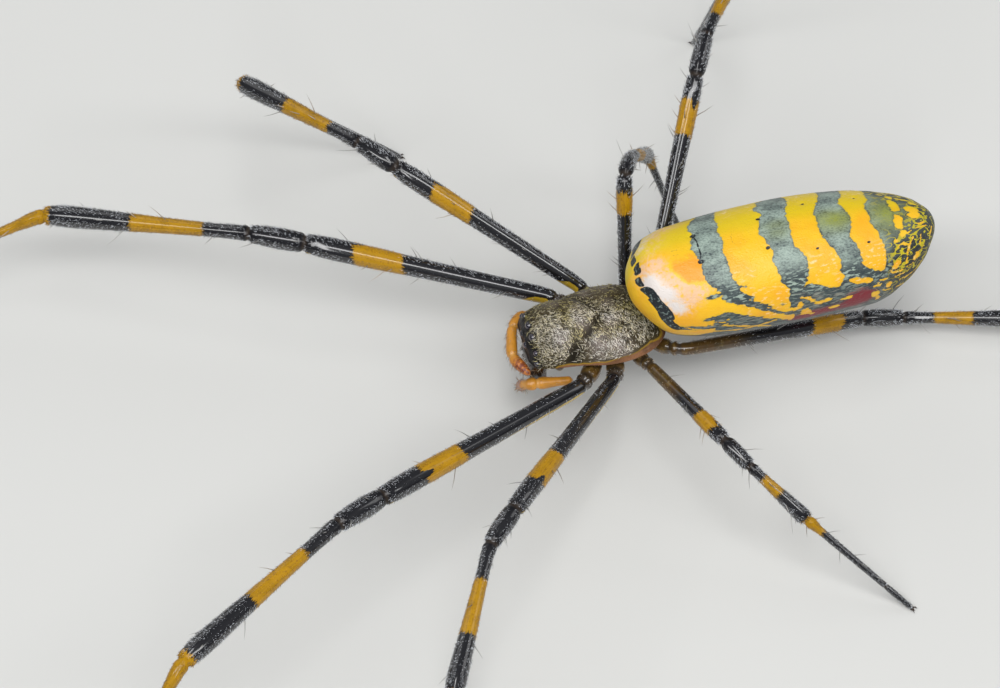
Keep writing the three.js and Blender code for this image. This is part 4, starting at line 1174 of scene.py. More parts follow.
class SPIDER_OT_leg_coat(bpy.types.Operator):
    """Adds the short hairs, the long spines and the claws of the legs"""
    bl_idname = "spider.leg_coat"
    bl_label = "Leg coat"

    BARE_STRIP = (20, 42)              # degrees to either side of the strip's middle, from bare to covered
    NARROW_STRIP = (9, 24)             # and beyond the knee
    HAIR_WIDTH = 0.034
    SPINE_WIDTH = 0.06
    CLAW_WIDTH = 0.1
    FINE_SPINES = 18                   # on each leg, among the large ones
    # The large spines: the joints that they stand between, their shares of that length, and their own in mm
    SPINES = [
        (THIGH, KNEE, (0.2, 0.37, 0.53, 0.67, 0.84), 1.25),
        (KNEE, FOOT, (0.16, 0.34, 0.52, 0.7, 0.86), 1.25),
        (FOOT, TOE + 1, (0.14, 0.3, 0.47), 0.95),
    ]
    SPINE_MARGIN = 0.15
    FULL_GIRTH = LEG_SIZES["1"]["girth"]
    # The steps of the seeded draws that place the large spines
    DRAW_FACTOR, DRAW_ADD, DRAW_RANGE = 1664525, 1013904223, 2**32

    def execute(self, context):
        c = colours()
        fur = hair_finish("leg_hair", dark=(0.03, 0.03, 0.034), pale=c.grey_hair, gold=times(c.band, 1.5))
        thorn = hair_finish(
            "leg_spine", dark=(0.05, 0.045, 0.04), pale=(0.46, 0.45, 0.43), gold=(0.4, 0.2, 0.04))
        horn = Finish("claw_horn", Roughness=0.2, Specular_IOR_Level=0.6)
        horn = horn.feed(Base_Color=horn.mix(horn.noise(0.2), CLAW_BLACK, CLAW_BROWN))
        for index, leg in enumerate(LEGS):
            rng = np.random.default_rng(300 + index)
            dress(self.short_hairs(leg, rng), fur)
            dress(self.spines(leg, rng), thorn)
            dress(self.claws(leg), horn)
        return {"FINISHED"}

    def short_hairs(self, leg, rng):
        count = int(sizes().hairs_per_leg * leg.limb.length / LEGS[0].limb.length)
        s, angle, root, out, along = scatter(leg.limb, leg.radius, count, rng, 0.4)
        strip = np.abs(np.angle(np.exp(1j * (angle - leg.facing(s)))))
        beyond = fade(s, leg.joints[KNEE] - 1.5, leg.joints[KNEE])
        wide, narrow = (fade(strip, *np.radians(edges)) for edges in (self.BARE_STRIP, self.NARROW_STRIP))
        covered = (wide + (narrow - wide) * beyond) * (1 - (0.45 - 0.3 * beyond) * fade(strip, 0.6, 1.5))
        covered = np.maximum(covered, fade(np.abs(along @ VIEW_FROM), 0.6, 0.85))
        covered = np.where(s < leg.joints[FOOT] + 2, covered, 0.5 + 0.5 * covered)
        covered = covered * (1 - 0.7 * leg.stain(s)) * (1 - 0.85 * fade(leg.underline(s, angle), -0.06, 0.02))
        covered = covered * (1 - 0.7 * (leg.side > 0) * (1 - fade(leg.share(THIGH, s), 0.25, 0.7)))
        keep = (rng.random(len(s)) < 0.05 + covered) & (leg.joint_gap(s) < 0.5)
        s, angle, root, out, along = (x[keep] for x in (s, angle, root, out, along))
        count = len(s)
        over = np.cross(out, along)
        lie = along + over * rng.normal(0, 0.45, count)[:, None]
        length = sizes().leg_hair / MM * rng.uniform(0.6, 1.35, count)
        length = length * np.where(s > leg.joints[FOOT], 0.8, 1)
        band = leg.band(s, angle) + rng.normal(0, 0.09, count)
        tone = fade(rng.random(count) + 0.5 * (mottle(root, 0.6, seed=51, octaves=2) - 0.5), 0.2, 0.6)
        notes = {"gold": np.maximum(fade(band, -0.04, 0.04), 0.8 * leg.stain(s)), "tone": tone}
        lift = rng.uniform(10, 46, count)
        return hairs(
            f"leg_{leg.name}_hair", root, out, lie, length, self.HAIR_WIDTH, lift, 0,
            unrolled(leg.limb, s, angle), notes, rings=1)

    def spines(self, leg, rng):
        s, angle, length = self.large_spines(leg)
        more = self.FINE_SPINES
        s = np.concatenate([s, rng.uniform(leg.joints[THIGH] + 1, leg.joints[TOE], more)])
        angle = np.concatenate([angle, rng.uniform(-np.pi, np.pi, more)])
        length = np.concatenate([length, sizes().leg_spine / MM * rng.uniform(0.4, 0.7, more)])
        root, out, along = on_skin(leg.limb, leg.radius, s, angle)
        notes = {"gold": fade(leg.band(s, angle), -0.05, 0.05) * 0.3, "tone": 0.4 + 0.6 * rng.random(len(s))}
        return hairs(
            f"leg_{leg.name}_spines", root, out, along, length, self.SPINE_WIDTH, 50, 6,
            unrolled(leg.limb, s, angle), notes, sides=6)

    def large_spines(self, leg):
        """The spines that the solid legs have too, by the same seeded steps."""
        state = 101 + LEGS.index(leg)
        found = []
        for first, last, shares, bare in self.SPINES:
            start, end = leg.joints[first] + self.SPINE_MARGIN, leg.joints[last]
            if last <= TOE:
                end -= self.SPINE_MARGIN
            for i, share in enumerate(shares):
                draws = []
                for _ in range(3):
                    state = (state * self.DRAW_FACTOR + self.DRAW_ADD) % self.DRAW_RANGE
                    draws.append(state / self.DRAW_RANGE)
                angle = math.radians(62) + i * math.radians(137) + (draws[1] - 0.5) * 0.6
                length = bare * (0.8 + 0.4 * draws[2]) * (0.55 + 0.45 * leg.girth / self.FULL_GIRTH)
                found.append((start + (share + (draws[0] - 0.5) * 0.05) * (end - start), angle, length))
        return [np.array(values) for values in zip(*found)]

    def claws(self, leg):
        """Two long claws that hook down, and a short one between them."""
        centre, along, _, over = leg.limb.at(np.full(3, leg.limb.length - 0.05))
        ahead = unit(along * [1, 1, 0])
        out = np.tile([0, 0, 1.0], (3, 1))
        lie = ahead + over * np.array([-0.35, 0.35, 0.0])[:, None]
        root = centre + over * np.array([-0.07, 0.07, 0])[:, None] + ahead * 0.05
        length = np.array([0.42, 0.42, 0.28])
        unwrap = np.c_[np.full(3, 0.99), [0.4, 0.5, 0.6]]
        return hairs(
            f"leg_{leg.name}_claws", root, out, lie, length, self.CLAW_WIDTH, [18, 18, -5], [70, 70, 40],
            unwrap, sides=8)


# Carapace: one plain dome, then its grooves, pits, eye hills and rim
EYE_NAMES = [f"eye_{row}_{side}" for row in ("front_middle", "rear_middle", "front_side", "rear_side")
             for side in ("left", "right")]


def eye_places():
    """Each eye's centre and radius, in millimetres."""
    found = []
    for name in EYE_NAMES:
        low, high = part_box(name)
        found.append((np.array((low + high) / 2 - ORIGIN) / MM, (high.x - low.x) / 2 / MM))
    return found


# Shades that the carapace's finish mixes in
PALE_PATCH_GREY = (0.30, 0.25, 0.23)
FURROW_BLACK = (0.012, 0.010, 0.006)
RIM_LINE = (0.30, 0.18, 0.02)
FACE_BLACK = (0.008, 0.007, 0.007)


def carapace_finish():
    c = colours()
    skin = Finish("carapace_skin", Specular_IOR_Level=0.18, Coat_Weight=0.06, Coat_Roughness=0.2)
    ragged = skin.noise(0.5, 4.0) - 0.5
    fine = skin.noise(0.12, 3.0) - 0.5
    edge = skin.read("rim") + ragged * 0.12
    worn = skin.mix(skin.noise(0.7, 3.0).step(0.3, 0.7), c.shell, times(c.shell, 2.0))
    # Pale grey patches on both halves, stronger on the lit left half: the extra on the left is painted light
    worn = skin.mix(skin.read("pale") * (0.6 + fine), worn, PALE_PATCH_GREY)
    worn = skin.mix(skin.read("furrow").least(0.9), worn, FURROW_BLACK)
    brown = skin.mix(skin.noise(0.9, 3.0).step(0.35, 0.7), c.rim, times(c.rim, 0.5))
    brown = skin.mix(edge.step(0.07, 0.02), brown, RIM_LINE)
    colour = skin.mix(edge.step(-0.04, 0.02), worn, brown)
    colour = skin.mix(skin.read("face"), colour, FACE_BLACK)
    rough = 0.38 + fine * 0.3 - edge.step(-0.04, 0.05) * 0.1
    return skin.feed(Base_Color=colour, Roughness=rough, Normal=skin.bump(ragged + fine, 0.03))


class SPIDER_OT_carapace(bpy.types.Operator):
    """Models the carapace with its grooves, its eye hills and its rim"""
    bl_idname = "spider.carapace"
    bl_label = "Carapace"

    SIDES = 32
    LEVELS = 3
    STATIONS = (
        -7.8, -7.76, -7.68, -7.52, -7.3, -7.05, -6.75, -6.4, -6.05, -5.7, -5.35, -5.0, -4.7, -4.4, -4.1, -3.8,
        -3.5, -3.2, -2.9, -2.5, -2.1, -1.7, -1.3, -0.95, -0.65, -0.4, -0.2, -0.05, 0.1, 0.2, 0.25,
    )
    # Furrows and pits of either half as (start, end, half width, strength), pale patches as (x, y, radius)
    FURROWS = [
        ((0.35, -3.45), (1.4, -4.45), 0.26, 0.8), ((1.4, -4.45), (1.9, -5.1), 0.3, 0.15),
        ((1.85, -5.1), (2.15, -5.4), 0.36, 0.9), ((0, -3.3), (0, -2.8), 0.3, 0.8),
        ((0.9, -2.12), (1.0, -1.98), 0.15, 0.9), ((1.82, -2.3), (1.92, -2.16), 0.12, 0.7),
        ((1.64, -3.55), (1.72, -3.42), 0.12, 0.6), ((0.75, -5.55), (0.83, -5.4), 0.12, 0.6),
    ]
    PALE_PATCHES = [
        (0.55, -4.5, 0.5), (1.9, -3.8, 0.6), (2.1, -2.6, 0.55), (1.24, -5.84, 0.5), (0.6, -2.8, 0.45),
    ]

    def execute(self, context):
        y = np.array(self.STATIONS)
        inset = sizes().coat_depth / MM
        half = CARAPACE_HALF_WIDTH * smooth(CARAPACE_WIDTHS, y) - inset
        tall = CARAPACE_HEIGHT * smooth(CARAPACE_HEIGHTS, y) - inset
        full = fullness(self.SIDES)
        level = np.full(len(y), RIM_Z)
        piece = ring_body("carapace_skin", y, level, half * full, tall * full, self.SIDES, self.LEVELS)
        points = places(piece)
        low = RIM_Z - points[:, 2]
        under = low > 0
        depth = smooth(CARAPACE_HEIGHTS, points[:, 1]) * CARAPACE_HEIGHT
        points[under, 2] = RIM_Z - RIM_DEPTH * np.sqrt(np.clip(low / depth, 0, 1))[under]
        move_to(piece, points)
        self.mark(piece, points)
        move_to(piece, points + outward(piece) * self.relief(points)[:, None])
        dress(piece, carapace_finish(), ["carapace"])
        return {"FINISHED"}

    def mark(self, piece, points):
        """Notes where the rim, the bare face, the furrows and the pale patches are."""
        x, y, z = points.T
        width = 0.14 + 0.2 * fade(y, -4.4, -2.0) * (1 - fade(y, -0.9, 0.0))
        wavy = 0.02 * np.sin(4.2 * y) + 0.08 * (mottle(points, 0.8, seed=31) - 0.5)
        behind = fade(y, -7.0, -6.2)
        note(piece, "rim", (RIM_Z + width + wavy - z) * behind - 0.3 * (1 - behind))
        face = 1 - fade(y + 0.12 * (z - RIM_Z), -7.5, -7.25)
        for centre, radius in eye_places():
            away = np.linalg.norm(points - centre, axis=1)
            face = np.maximum(face, 1 - fade(away, radius + 0.08, radius + 0.2))
        note(piece, "face", face)
        note(piece, "furrow", self.furrows(points))
        pale = sum(np.exp(-((np.abs(x) - a) ** 2 + (y - b) ** 2) / r**2) for a, b, r in self.PALE_PATCHES)
        # Painted light: the pale patches are full on the lit left half and half as strong on the right
        note(piece, "pale", np.clip(pale, 0, 1) * np.where(x > 0, 1.0, 0.5))

    def furrows(self, points):
        """How dark and deep the soft furrows and pits are at each place."""
        side, y = np.abs(points[:, 0]), points[:, 1]
        depth = np.zeros(len(y))
        for a, b, width, strength in self.FURROWS:
            _, away = nearest(side, y, a, b)
            depth = np.maximum(depth, strength * bell(away, width))
        return depth * (0.55 + 0.9 * mottle(points, 0.45, seed=34))

    def relief(self, points):
        """Furrows, a bead along the rim with a groove above it, soft swellings and a ridge round each eye."""
        y = points[:, 1]
        up = points[:, 2] - RIM_Z
        dome = fade(up, 0.1, 0.5)
        height = -0.13 * self.furrows(points) * dome
        height += 0.07 * bell(up, 0.07)
        height -= 0.06 * bell(up - 0.26, 0.1) * fade(y, -7, -6)
        height += 0.05 * (mottle(points, 0.9, seed=33) - 0.5) * dome
        for centre, radius in eye_places():
            away = np.linalg.norm(points - centre, axis=1)
            height += 0.05 * bell(away - radius * 1.05, 0.13)
        return height


class SPIDER_OT_carapace_coat(bpy.types.Operator):
    """Lays the flat silver hairs over the carapace"""
    bl_idname = "spider.carapace_coat"
    bl_label = "Carapace coat"

    HAIR_WIDTH = 0.055

    def execute(self, context):
        c = colours()
        rng = np.random.default_rng(77)
        skin = bpy.data.objects["carapace_skin"]
        wanted = sizes().carapace_hairs
        root, out, values = self.sample(skin, 3 * wanted, rng, ("rim", "face", "furrow", "pale"))
        x, y, z = root.T
        bare = np.maximum(fade(values["rim"], -0.1, 0.02), values["face"])
        bare = np.maximum(bare, 0.8 * fade(values["furrow"], 0.25, 0.8))
        patchy = mottle(root, 0.9, seed=41, octaves=2)
        bare = np.maximum(bare, 0.6 * (1 - fade(patchy, 0.3, 0.5)))
        # The far right half keeps fewer hairs, and below they are darker and more golden there: painted shade
        # on the half turned from the light
        bare = np.maximum(bare, 0.75 * fade(-x, -0.3, 1.5))
        keep = (rng.random(len(root)) > bare) & (out[:, 2] > 0.02)
        keep &= np.cumsum(keep) <= wanted
        root, out, y, x, pale = root[keep], out[keep], y[keep], x[keep], values["pale"][keep]
        count = len(root)
        inward = np.c_[-x, -0.6 - 0.2 * np.abs(x), np.zeros(count)]
        turn = rng.normal(0, math.radians(38), count)
        lie = unit(inward)
        lie = lie * np.cos(turn)[:, None] + np.cross(out, lie) * np.sin(turn)[:, None]
        length = sizes().carapace_hair / MM * rng.uniform(0.6, 1.25, count)
        # Painted shade: darker, more golden hairs on the far right half
        far = fade(-x, -0.3, 1.5)
        warm = 0.35 + 0.45 * fade(mottle(root, 1.3, seed=42), 0.4, 0.62) + 0.35 * far - 0.5 * pale
        clumps = 0.5 * (mottle(root, 0.28, seed=43, octaves=2) - 0.5)
        tone = fade(rng.random(count) + clumps, 0.15, 0.7) * (1 - 0.45 * far)
        notes = {"tone": tone, "gold": np.clip(warm + rng.normal(0, 0.15, count), 0, 1)}
        unwrap = np.c_[0.5 + x / 6, y / CARAPACE_FRONT]
        lift = rng.uniform(6, 24, count)
        bow = rng.uniform(4, 16, count)
        piece = hairs(
            "carapace_hair", root, out, lie, length, self.HAIR_WIDTH, lift, bow, unwrap, notes)
        fur = hair_finish("carapace_fur", dark=(0.055, 0.045, 0.018), pale=c.silver, gold=(0.62, 0.52, 0.17))
        dress(piece, fur)
        return {"FINISHED"}

    def sample(self, skin, count, rng, names):
        """Random places on a finished skin, spread evenly over its surface, in millimetres."""
        mesh = skin.data
        mesh.calc_loop_triangles()
        corners = np.zeros(len(mesh.loop_triangles) * 3, np.int32)
        mesh.loop_triangles.foreach_get("vertices", corners)
        corners = corners.reshape(-1, 3)
        points = (places(skin) - np.array(ORIGIN)) / MM
        a, b, c = (points[corners[:, k]] for k in range(3))
        area = np.linalg.norm(np.cross(b - a, c - a), axis=1)
        chosen = rng.choice(len(corners), count, p=area / area.sum())
        share = rng.dirichlet((1, 1, 1), count)

        def blend(values):
            return np.einsum("ij,ij...->i...", share, values[corners[chosen]])

        return blend(points), unit(blend(outward(skin))), {name: blend(noted(skin, name)) for name in names}


LENS_BLACK = (0.006, 0.005, 0.012)
# Painted reflection: a dim purple tone mottled over the black lenses
LENS_SHEEN = (0.030, 0.018, 0.040)


class SPIDER_OT_eyes(bpy.types.Operator):
    """Models the eight eyes as low glossy domes"""
    bl_idname = "spider.eyes"
    bl_label = "Eyes"

    def execute(self, context):
        clear_selection()
        lens = Finish(
            "eye_lens", Roughness=0.04, Specular_IOR_Level=0.7, Coat_Weight=1.0, Coat_Roughness=0.02)
        # Painted reflection: purple mottling over the black of the lenses
        sheen_mask = lens.noise(0.3, 2.0).step(0.4, 0.8)
        finish = lens.feed(Base_Color=lens.mix(sheen_mask, LENS_BLACK, LENS_SHEEN))
        domes = []
        for centre, radius in eye_places():
            bpy.ops.mesh.primitive_uv_sphere_add(
                segments=40, ring_count=24, radius=radius, location=tuple(centre))
            bpy.ops.object.transform_apply(location=True, rotation=True, scale=True)
            domes.append(bpy.context.object)
        dress(join(domes, "eyes"), finish, EYE_NAMES)
        return {"FINISHED"}


# Jaws, fangs and palps: the points of each one's path, and its radii as (share of the length, radius)
CHELICERA = [(0.7, -7.1, 6.9), (0.72, -7.2, 5.8), (0.66, -7.05, 4.35)]
CHELICERA_RADII = [(0, 0.46), (0.12, 0.53), (0.4, 0.56), (0.75, 0.5), (0.93, 0.42), (1, 0.34)]
FANG = [(0.72, -7.03, 4.5), (0.72, -6.85, 3.55), (0.3, -6.35, 3.6)]
FANG_RADII = [(0, 0.26), (0.25, 0.26), (0.5, 0.24), (0.8, 0.15), (1, 0.07)]
PLATE_PLACE = (0.72, -5.9, 5.95)
PLATE_RADII = (0.48, 0.36, 0.83)
PALPS = {
    "left": [(1.79, -5.36, 5.3), (1.62, -7.43, 5.47), (1.53, -8.15, 5.5), (0.68, -8.07, 4.16),
             (-0.33, -7.88, 2.56)],
    "right": [(-1.5, -5.65, 5.2), (-2.5, -7.1, 6.6), (-1.61, -8.11, 6.85), (0.23, -8.58, 6.6),
              (1.68, -7.87, 6.6)],
}
PALP_BRISTLES = {"left": 130, "right": 240}
# The radii of femur, patella, tibia and tarsus, as (share of the segment's length, radius)
PALP_SEGMENTS = [
    [(0, 0.24), (0.15, 0.28), (0.45, 0.3), (0.8, 0.38), (0.95, 0.37)],
    [(0.08, 0.36), (0.4, 0.4), (0.85, 0.36)],
    [(0.05, 0.32), (0.4, 0.34), (0.8, 0.36), (0.95, 0.34)],
    [(0.05, 0.33), (0.3, 0.37), (0.6, 0.33), (0.85, 0.25), (1, 0.15)],
]
PALP_INSET = 0.03
LIMB_INSET = 0.02                  # how far jaws, fangs and waist lie inside their solids, in mm
BRISTLE_WIDTH = 0.035
# Shades that the finishes of horn, shell and palps mix
JAW_BLACK = (0.008, 0.006, 0.006)
JAW_RED = (0.09, 0.03, 0.012)
FANG_RED = (0.12, 0.025, 0.012)
FANG_BLACK = (0.012, 0.006, 0.005)
SHELL_BLACK = (0.022, 0.014, 0.009)
SHELL_CLOUD = (0.20, 0.12, 0.03)
PALP_RED = (0.17, 0.035, 0.012)
PALP_ORANGE = (0.50, 0.17, 0.03)
PALP_JOINT = (0.62, 0.34, 0.10)


def round_ends(limb, s, start=0.25, end=0.25):
    """Draws a limb in to a round end at both ends."""
    return round_end(s, start) * round_end(limb.length - s, end)


def simple_limb(name, points, stations, side, corner, sides=24):
    """A limb of one segment: its path, its radius at a distance and its mesh."""
    limb = Limb([(x * side, y, z) for x, y, z in points], corner, level=False)
    stations = [(share * limb.length, radius) for share, radius in stations]

    def radius(s):
        return (smooth(stations, s) - LIMB_INSET) * round_ends(limb, s, 0.3, 0.12)

    distances = np.linspace(0, limb.length, 90)
    return limb, radius, tube(name, limb, distances, radius(distances), sides)


class SPIDER_OT_mouthparts(bpy.types.Operator):
    """Models the jaws with their bristles, the fangs and the plates beside the mouth"""
    bl_idname = "spider.mouthparts"
    bl_label = "Mouthparts"

    def execute(self, context):
        jaw, horn = self.jaw_finish(), self.fang_finish()
        bristle = hair_finish(
            "bristle", dark=(0.02, 0.015, 0.012), pale=(0.22, 0.16, 0.1), gold=(0.4, 0.2, 0.05))
        plate = shell_finish("mouth_plate_shell")
        for name, side in (("left", 1), ("right", -1)):
            limb, radius, piece = simple_limb(f"chelicera_{name}_skin", CHELICERA, CHELICERA_RADII, side, 0.6)
            note(piece, "low", noted(piece, "run") / limb.length)
            dress(piece, jaw, [f"chelicera_{name}"])
            dress(self.bristles(name, limb, radius, np.random.default_rng(50 + side)), bristle)
            limb, radius, piece = simple_limb(f"fang_{name}_skin", FANG, FANG_RADII, side, 0.4, 16)
            note(piece, "low", fade(noted(piece, "run") / limb.length, 0.2, 0.7))
            dress(piece, horn, [f"fang_{name}"])
            x, y, z = PLATE_PLACE
            piece = pebble(f"mouth_plate_{name}_skin", (x * side, y, z), PLATE_RADII)
            dress(piece, plate, [f"mouth_plate_{name}"])
        return {"FINISHED"}

    def jaw_finish(self):
        jaw = Finish("jaw_horn", Specular_IOR_Level=0.55, Coat_Weight=0.4, Coat_Roughness=0.1)
        dark = jaw.mix(jaw.noise(0.7, 4.0).step(0.4, 0.75) * jaw.read("low"), JAW_BLACK, JAW_RED)
        rough = 0.22 + (jaw.noise(0.15) - 0.5) * 0.2
        return jaw.feed(Base_Color=dark, Roughness=rough, Normal=jaw.bump(jaw.noise(0.2, 3.0), 0.02))

    def fang_finish(self):
        horn = Finish("fang_horn", Specular_IOR_Level=0.6, Coat_Weight=0.5)
        shade = horn.mix(horn.read("low"), FANG_RED, FANG_BLACK)
        return horn.feed(Base_Color=shade, Roughness=0.16 + (horn.noise(0.2) - 0.5) * 0.1)

    def bristles(self, name, limb, radius, rng):
        """The bristles of one jaw, on all but its rear."""
        spots = scatter(limb, radius, 190, rng, 0.5)
        keep = np.abs(spots[1]) < 2.4
        s, angle, root, out, along = (x[keep] for x in spots)
        length = sizes().bristle / MM * rng.uniform(0.35, 0.9, len(s))
        lift = rng.uniform(25, 55, len(s))
        notes = {"tone": rng.random(len(s)), "gold": np.zeros(len(s))}
        return hairs(
            f"chelicera_{name}_bristles", root, out, along, length, BRISTLE_WIDTH, lift, 20,
            unrolled(limb, s, angle), notes)


def shell_finish(name):
    """Dark, slightly glossy shell with paler yellowish clouds."""
    skin = Finish(name, Specular_IOR_Level=0.5, Coat_Weight=0.2, Coat_Roughness=0.2)
    cloud = skin.noise(0.9, 4.0)
    fine = skin.noise(0.12, 3.0) - 0.5
    tone = skin.mix(cloud.step(0.5, 0.72), SHELL_BLACK, SHELL_CLOUD)
    return skin.feed(Base_Color=tone, Roughness=0.38 + fine * 0.3, Normal=skin.bump(fine + cloud, 0.03))


def pebble(name, centre, radii):
    """A smooth oval body."""
    steps = np.cos(np.linspace(math.pi * 0.96, math.pi * 0.04, 13))
    x, y, z = centre
    girth = np.sqrt(1 - steps * steps)
    level = np.full(len(steps), z)
    piece = ring_body(name, y + radii[1] * steps, level, radii[0] * girth, radii[2] * girth, 20, 2)
    points = places(piece)
    points[:, 0] += x
    move_to(piece, points)
    return piece


class SPIDER_OT_palps(bpy.types.Operator):
    """Models the two palps and their bristles"""
    bl_idname = "spider.palps"
    bl_label = "Palps"

    BRISTLE_WIDTH = 0.034

    def execute(self, context):
        c = colours()
        skin = Finish("palp_skin", Specular_IOR_Level=0.5, Coat_Weight=0.2, Coat_Roughness=0.2)
        cloud = skin.noise(0.5, 4.0)
        fine = skin.noise(0.1, 3.0) - 0.5
        base = skin.mix(cloud.step(0.4, 0.7) * 0.6, c.palp, times(c.palp, 0.6))
        dots = skin.noise(0.14, 2.0).step(0.45, 0.6)
        tone = skin.mix(skin.read("tip"), base, skin.mix(dots, PALP_RED, PALP_ORANGE))
        tone = skin.mix(skin.read("joint") * 0.5, tone, PALP_JOINT)
        finish = skin.feed(Base_Color=tone, Roughness=0.36 + fine * 0.3, Normal=skin.bump(fine + cloud, 0.03))
        bristle = hair_finish(
            "palp_bristle", dark=(0.06, 0.03, 0.02), pale=(0.62, 0.55, 0.45), gold=(0.6, 0.3, 0.08))
        for name in PALPS:
            self.build(name, finish, bristle)
        return {"FINISHED"}

    def build(self, name, finish, bristle):
        limb = Limb(PALPS[name], 0.5)
        stations = limb_radii(limb.joints, PALP_SEGMENTS)

        def gap(s):
            return sum(bell(s - joint, 0.1, 4) for joint in limb.joints[:-1])

        def radius(s):
            return (smooth(stations, s) - PALP_INSET) * (1 - 0.16 * gap(s)) * round_ends(limb, s)

        distances = np.linspace(0, limb.length, 160)
        piece = tube(f"palp_{name}_skin", limb, distances, radius(distances), 24)
        s = noted(piece, "run")
        _, knee, shin, toe, _ = limb.joints
        red_from = toe + 0.3 if name == "right" else shin
        note(piece, "tip", fade(s, red_from - 0.3, red_from + 0.5))
        note(piece, "joint", gap(s))
        dress(piece, finish, [f"palp_{name}_femur", f"palp_{name}_tip"])
        rng = np.random.default_rng(60 + len(name))
        spots = scatter(limb, radius, PALP_BRISTLES[name], rng, 0.5)
        keep = rng.random(len(spots[0])) < 0.15 + 0.85 * fade(spots[0], knee - 0.4, shin)
        s, angle, root, out, along = (x[keep] for x in spots)
        length = sizes().bristle / MM * rng.uniform(0.3, 0.95, len(s))
        notes = {"tone": rng.random(len(s)), "gold": rng.random(len(s))}
        lift = rng.uniform(35, 65, len(s))
        fur = hairs(
            f"palp_{name}_bristles", root, out, along, length, self.BRISTLE_WIDTH, lift, 18,
            unrolled(limb, s, angle), notes)
        dress(fur, bristle)


# Underside. The sternum's outline is (share of its length, share of its half width). A teat of the
# spinnerets is its place beside their middle, its radius and its length.
STERNUM_HALF = 1.35
STERNUM_ENDS = (-5.0, -0.65)
STERNUM_LEVELS = (5.15, 6.9)
LIP_Z = 5.75
LIP_RADII = (0.4, 0.32, 0.53)
STERNUM_OUTLINE = [(0, 0.35), (0.12, 0.72), (0.3, 0.96), (0.45, 1), (0.62, 0.85), (0.8, 0.55), (1, 0.2)]
WAIST = [(0, -0.3, 6.55), (0, 0.55, 6.7), (0, 1.7, 7.75)]
WAIST_RADII = [(0, 0.26), (0.35, 0.28), (0.7, 0.34), (1, 0.4)]
SPINNERET_Y = 11.7
SPINNERET_LEVELS = (8.05, 7.15, 6.72)
SPINNERET_RING = [(7.95, 1.0), (7.6, 1.03), (7.3, 1.0), (7.05, 0.94), (6.85, 0.8), (6.78, 0.6)]
TEATS = [(0.4, -0.32, 0.3, 1.25), (0.24, 0.05, 0.22, 0.9), (0.42, 0.42, 0.3, 1.15)]
TEAT_SHAPE = [(0, 1), (0.5, 1), (0.85, 0.85), (1, 0.5)]


class SPIDER_OT_underside(bpy.types.Operator):
    """Models the breast plate, the waist and the spinnerets"""
    bl_idname = "spider.underside"
    bl_label = "Underside"

    def execute(self, context):
        shell = shell_finish("breast_shell")
        front, rear = STERNUM_ENDS
        low, high = STERNUM_LEVELS
        share = np.linspace(0.015, 0.985, 16)
        inset = 0.03
        half = STERNUM_HALF * smooth(STERNUM_OUTLINE, share) - inset
        slope = np.minimum(1, np.minimum(6 * share, 6 * (1 - share)))
        tall = (high - low) / 2 * (0.72 + 0.28 * slope) - inset
        level = np.full(len(share), (low + high) / 2)
        plate = ring_body("breast_plate", front + share * (rear - front), level, half, tall, 24, 2)
        lip = pebble("lip", (0, front + 0.05, LIP_Z), LIP_RADII)
        dress(join([plate, lip], "breast_skin"), shell, ["sternum"])
        _, _, waist = simple_limb("waist_skin", WAIST, WAIST_RADII, 1, 0.6)
        dress(waist, shell_finish("waist_shell"), ["pedicel"])
        dress(self.spinnerets(), shell_finish("spinneret_shell"), ["spinnerets"])
        return {"FINISHED"}

    def spinnerets(self):
        """The ring that carries the spinnerets, and its three pairs of teats."""
        top, middle, end = SPINNERET_LEVELS
        ring = Limb([(0, SPINNERET_Y, z) for z in (top, middle, end)], 0.2, level=False)
        stations = sorted((top - z, radius) for z, radius in SPINNERET_RING)
        steps = np.linspace(0, ring.length, 40)
        radii = smooth(stations, steps) * round_ends(ring, steps, 0.05, 0.2)
        pieces = [tube("spinneret_ring", ring, steps, radii, 40)]
        for x, y, thick, length in TEATS:
            for side in (1, -1):
                root = np.array([x * side, SPINNERET_Y + y, middle])
                tip = root + [-0.12 * side, 0.25, -length]
                limb = Limb([root, (root + tip) / 2, tip], 0.2, level=False)
                steps = np.linspace(0, limb.length, 40)
                share = steps / limb.length
                radii = smooth(TEAT_SHAPE, share) * (thick - LIMB_INSET)
                radii = radii * (1 - 0.12 * bell(share - 0.62, 0.04)) * round_ends(limb, steps, 0.05, 0.15)
                pieces.append(tube("teat", limb, steps, radii, 20))
        return join(pieces, "spinneret_skin")


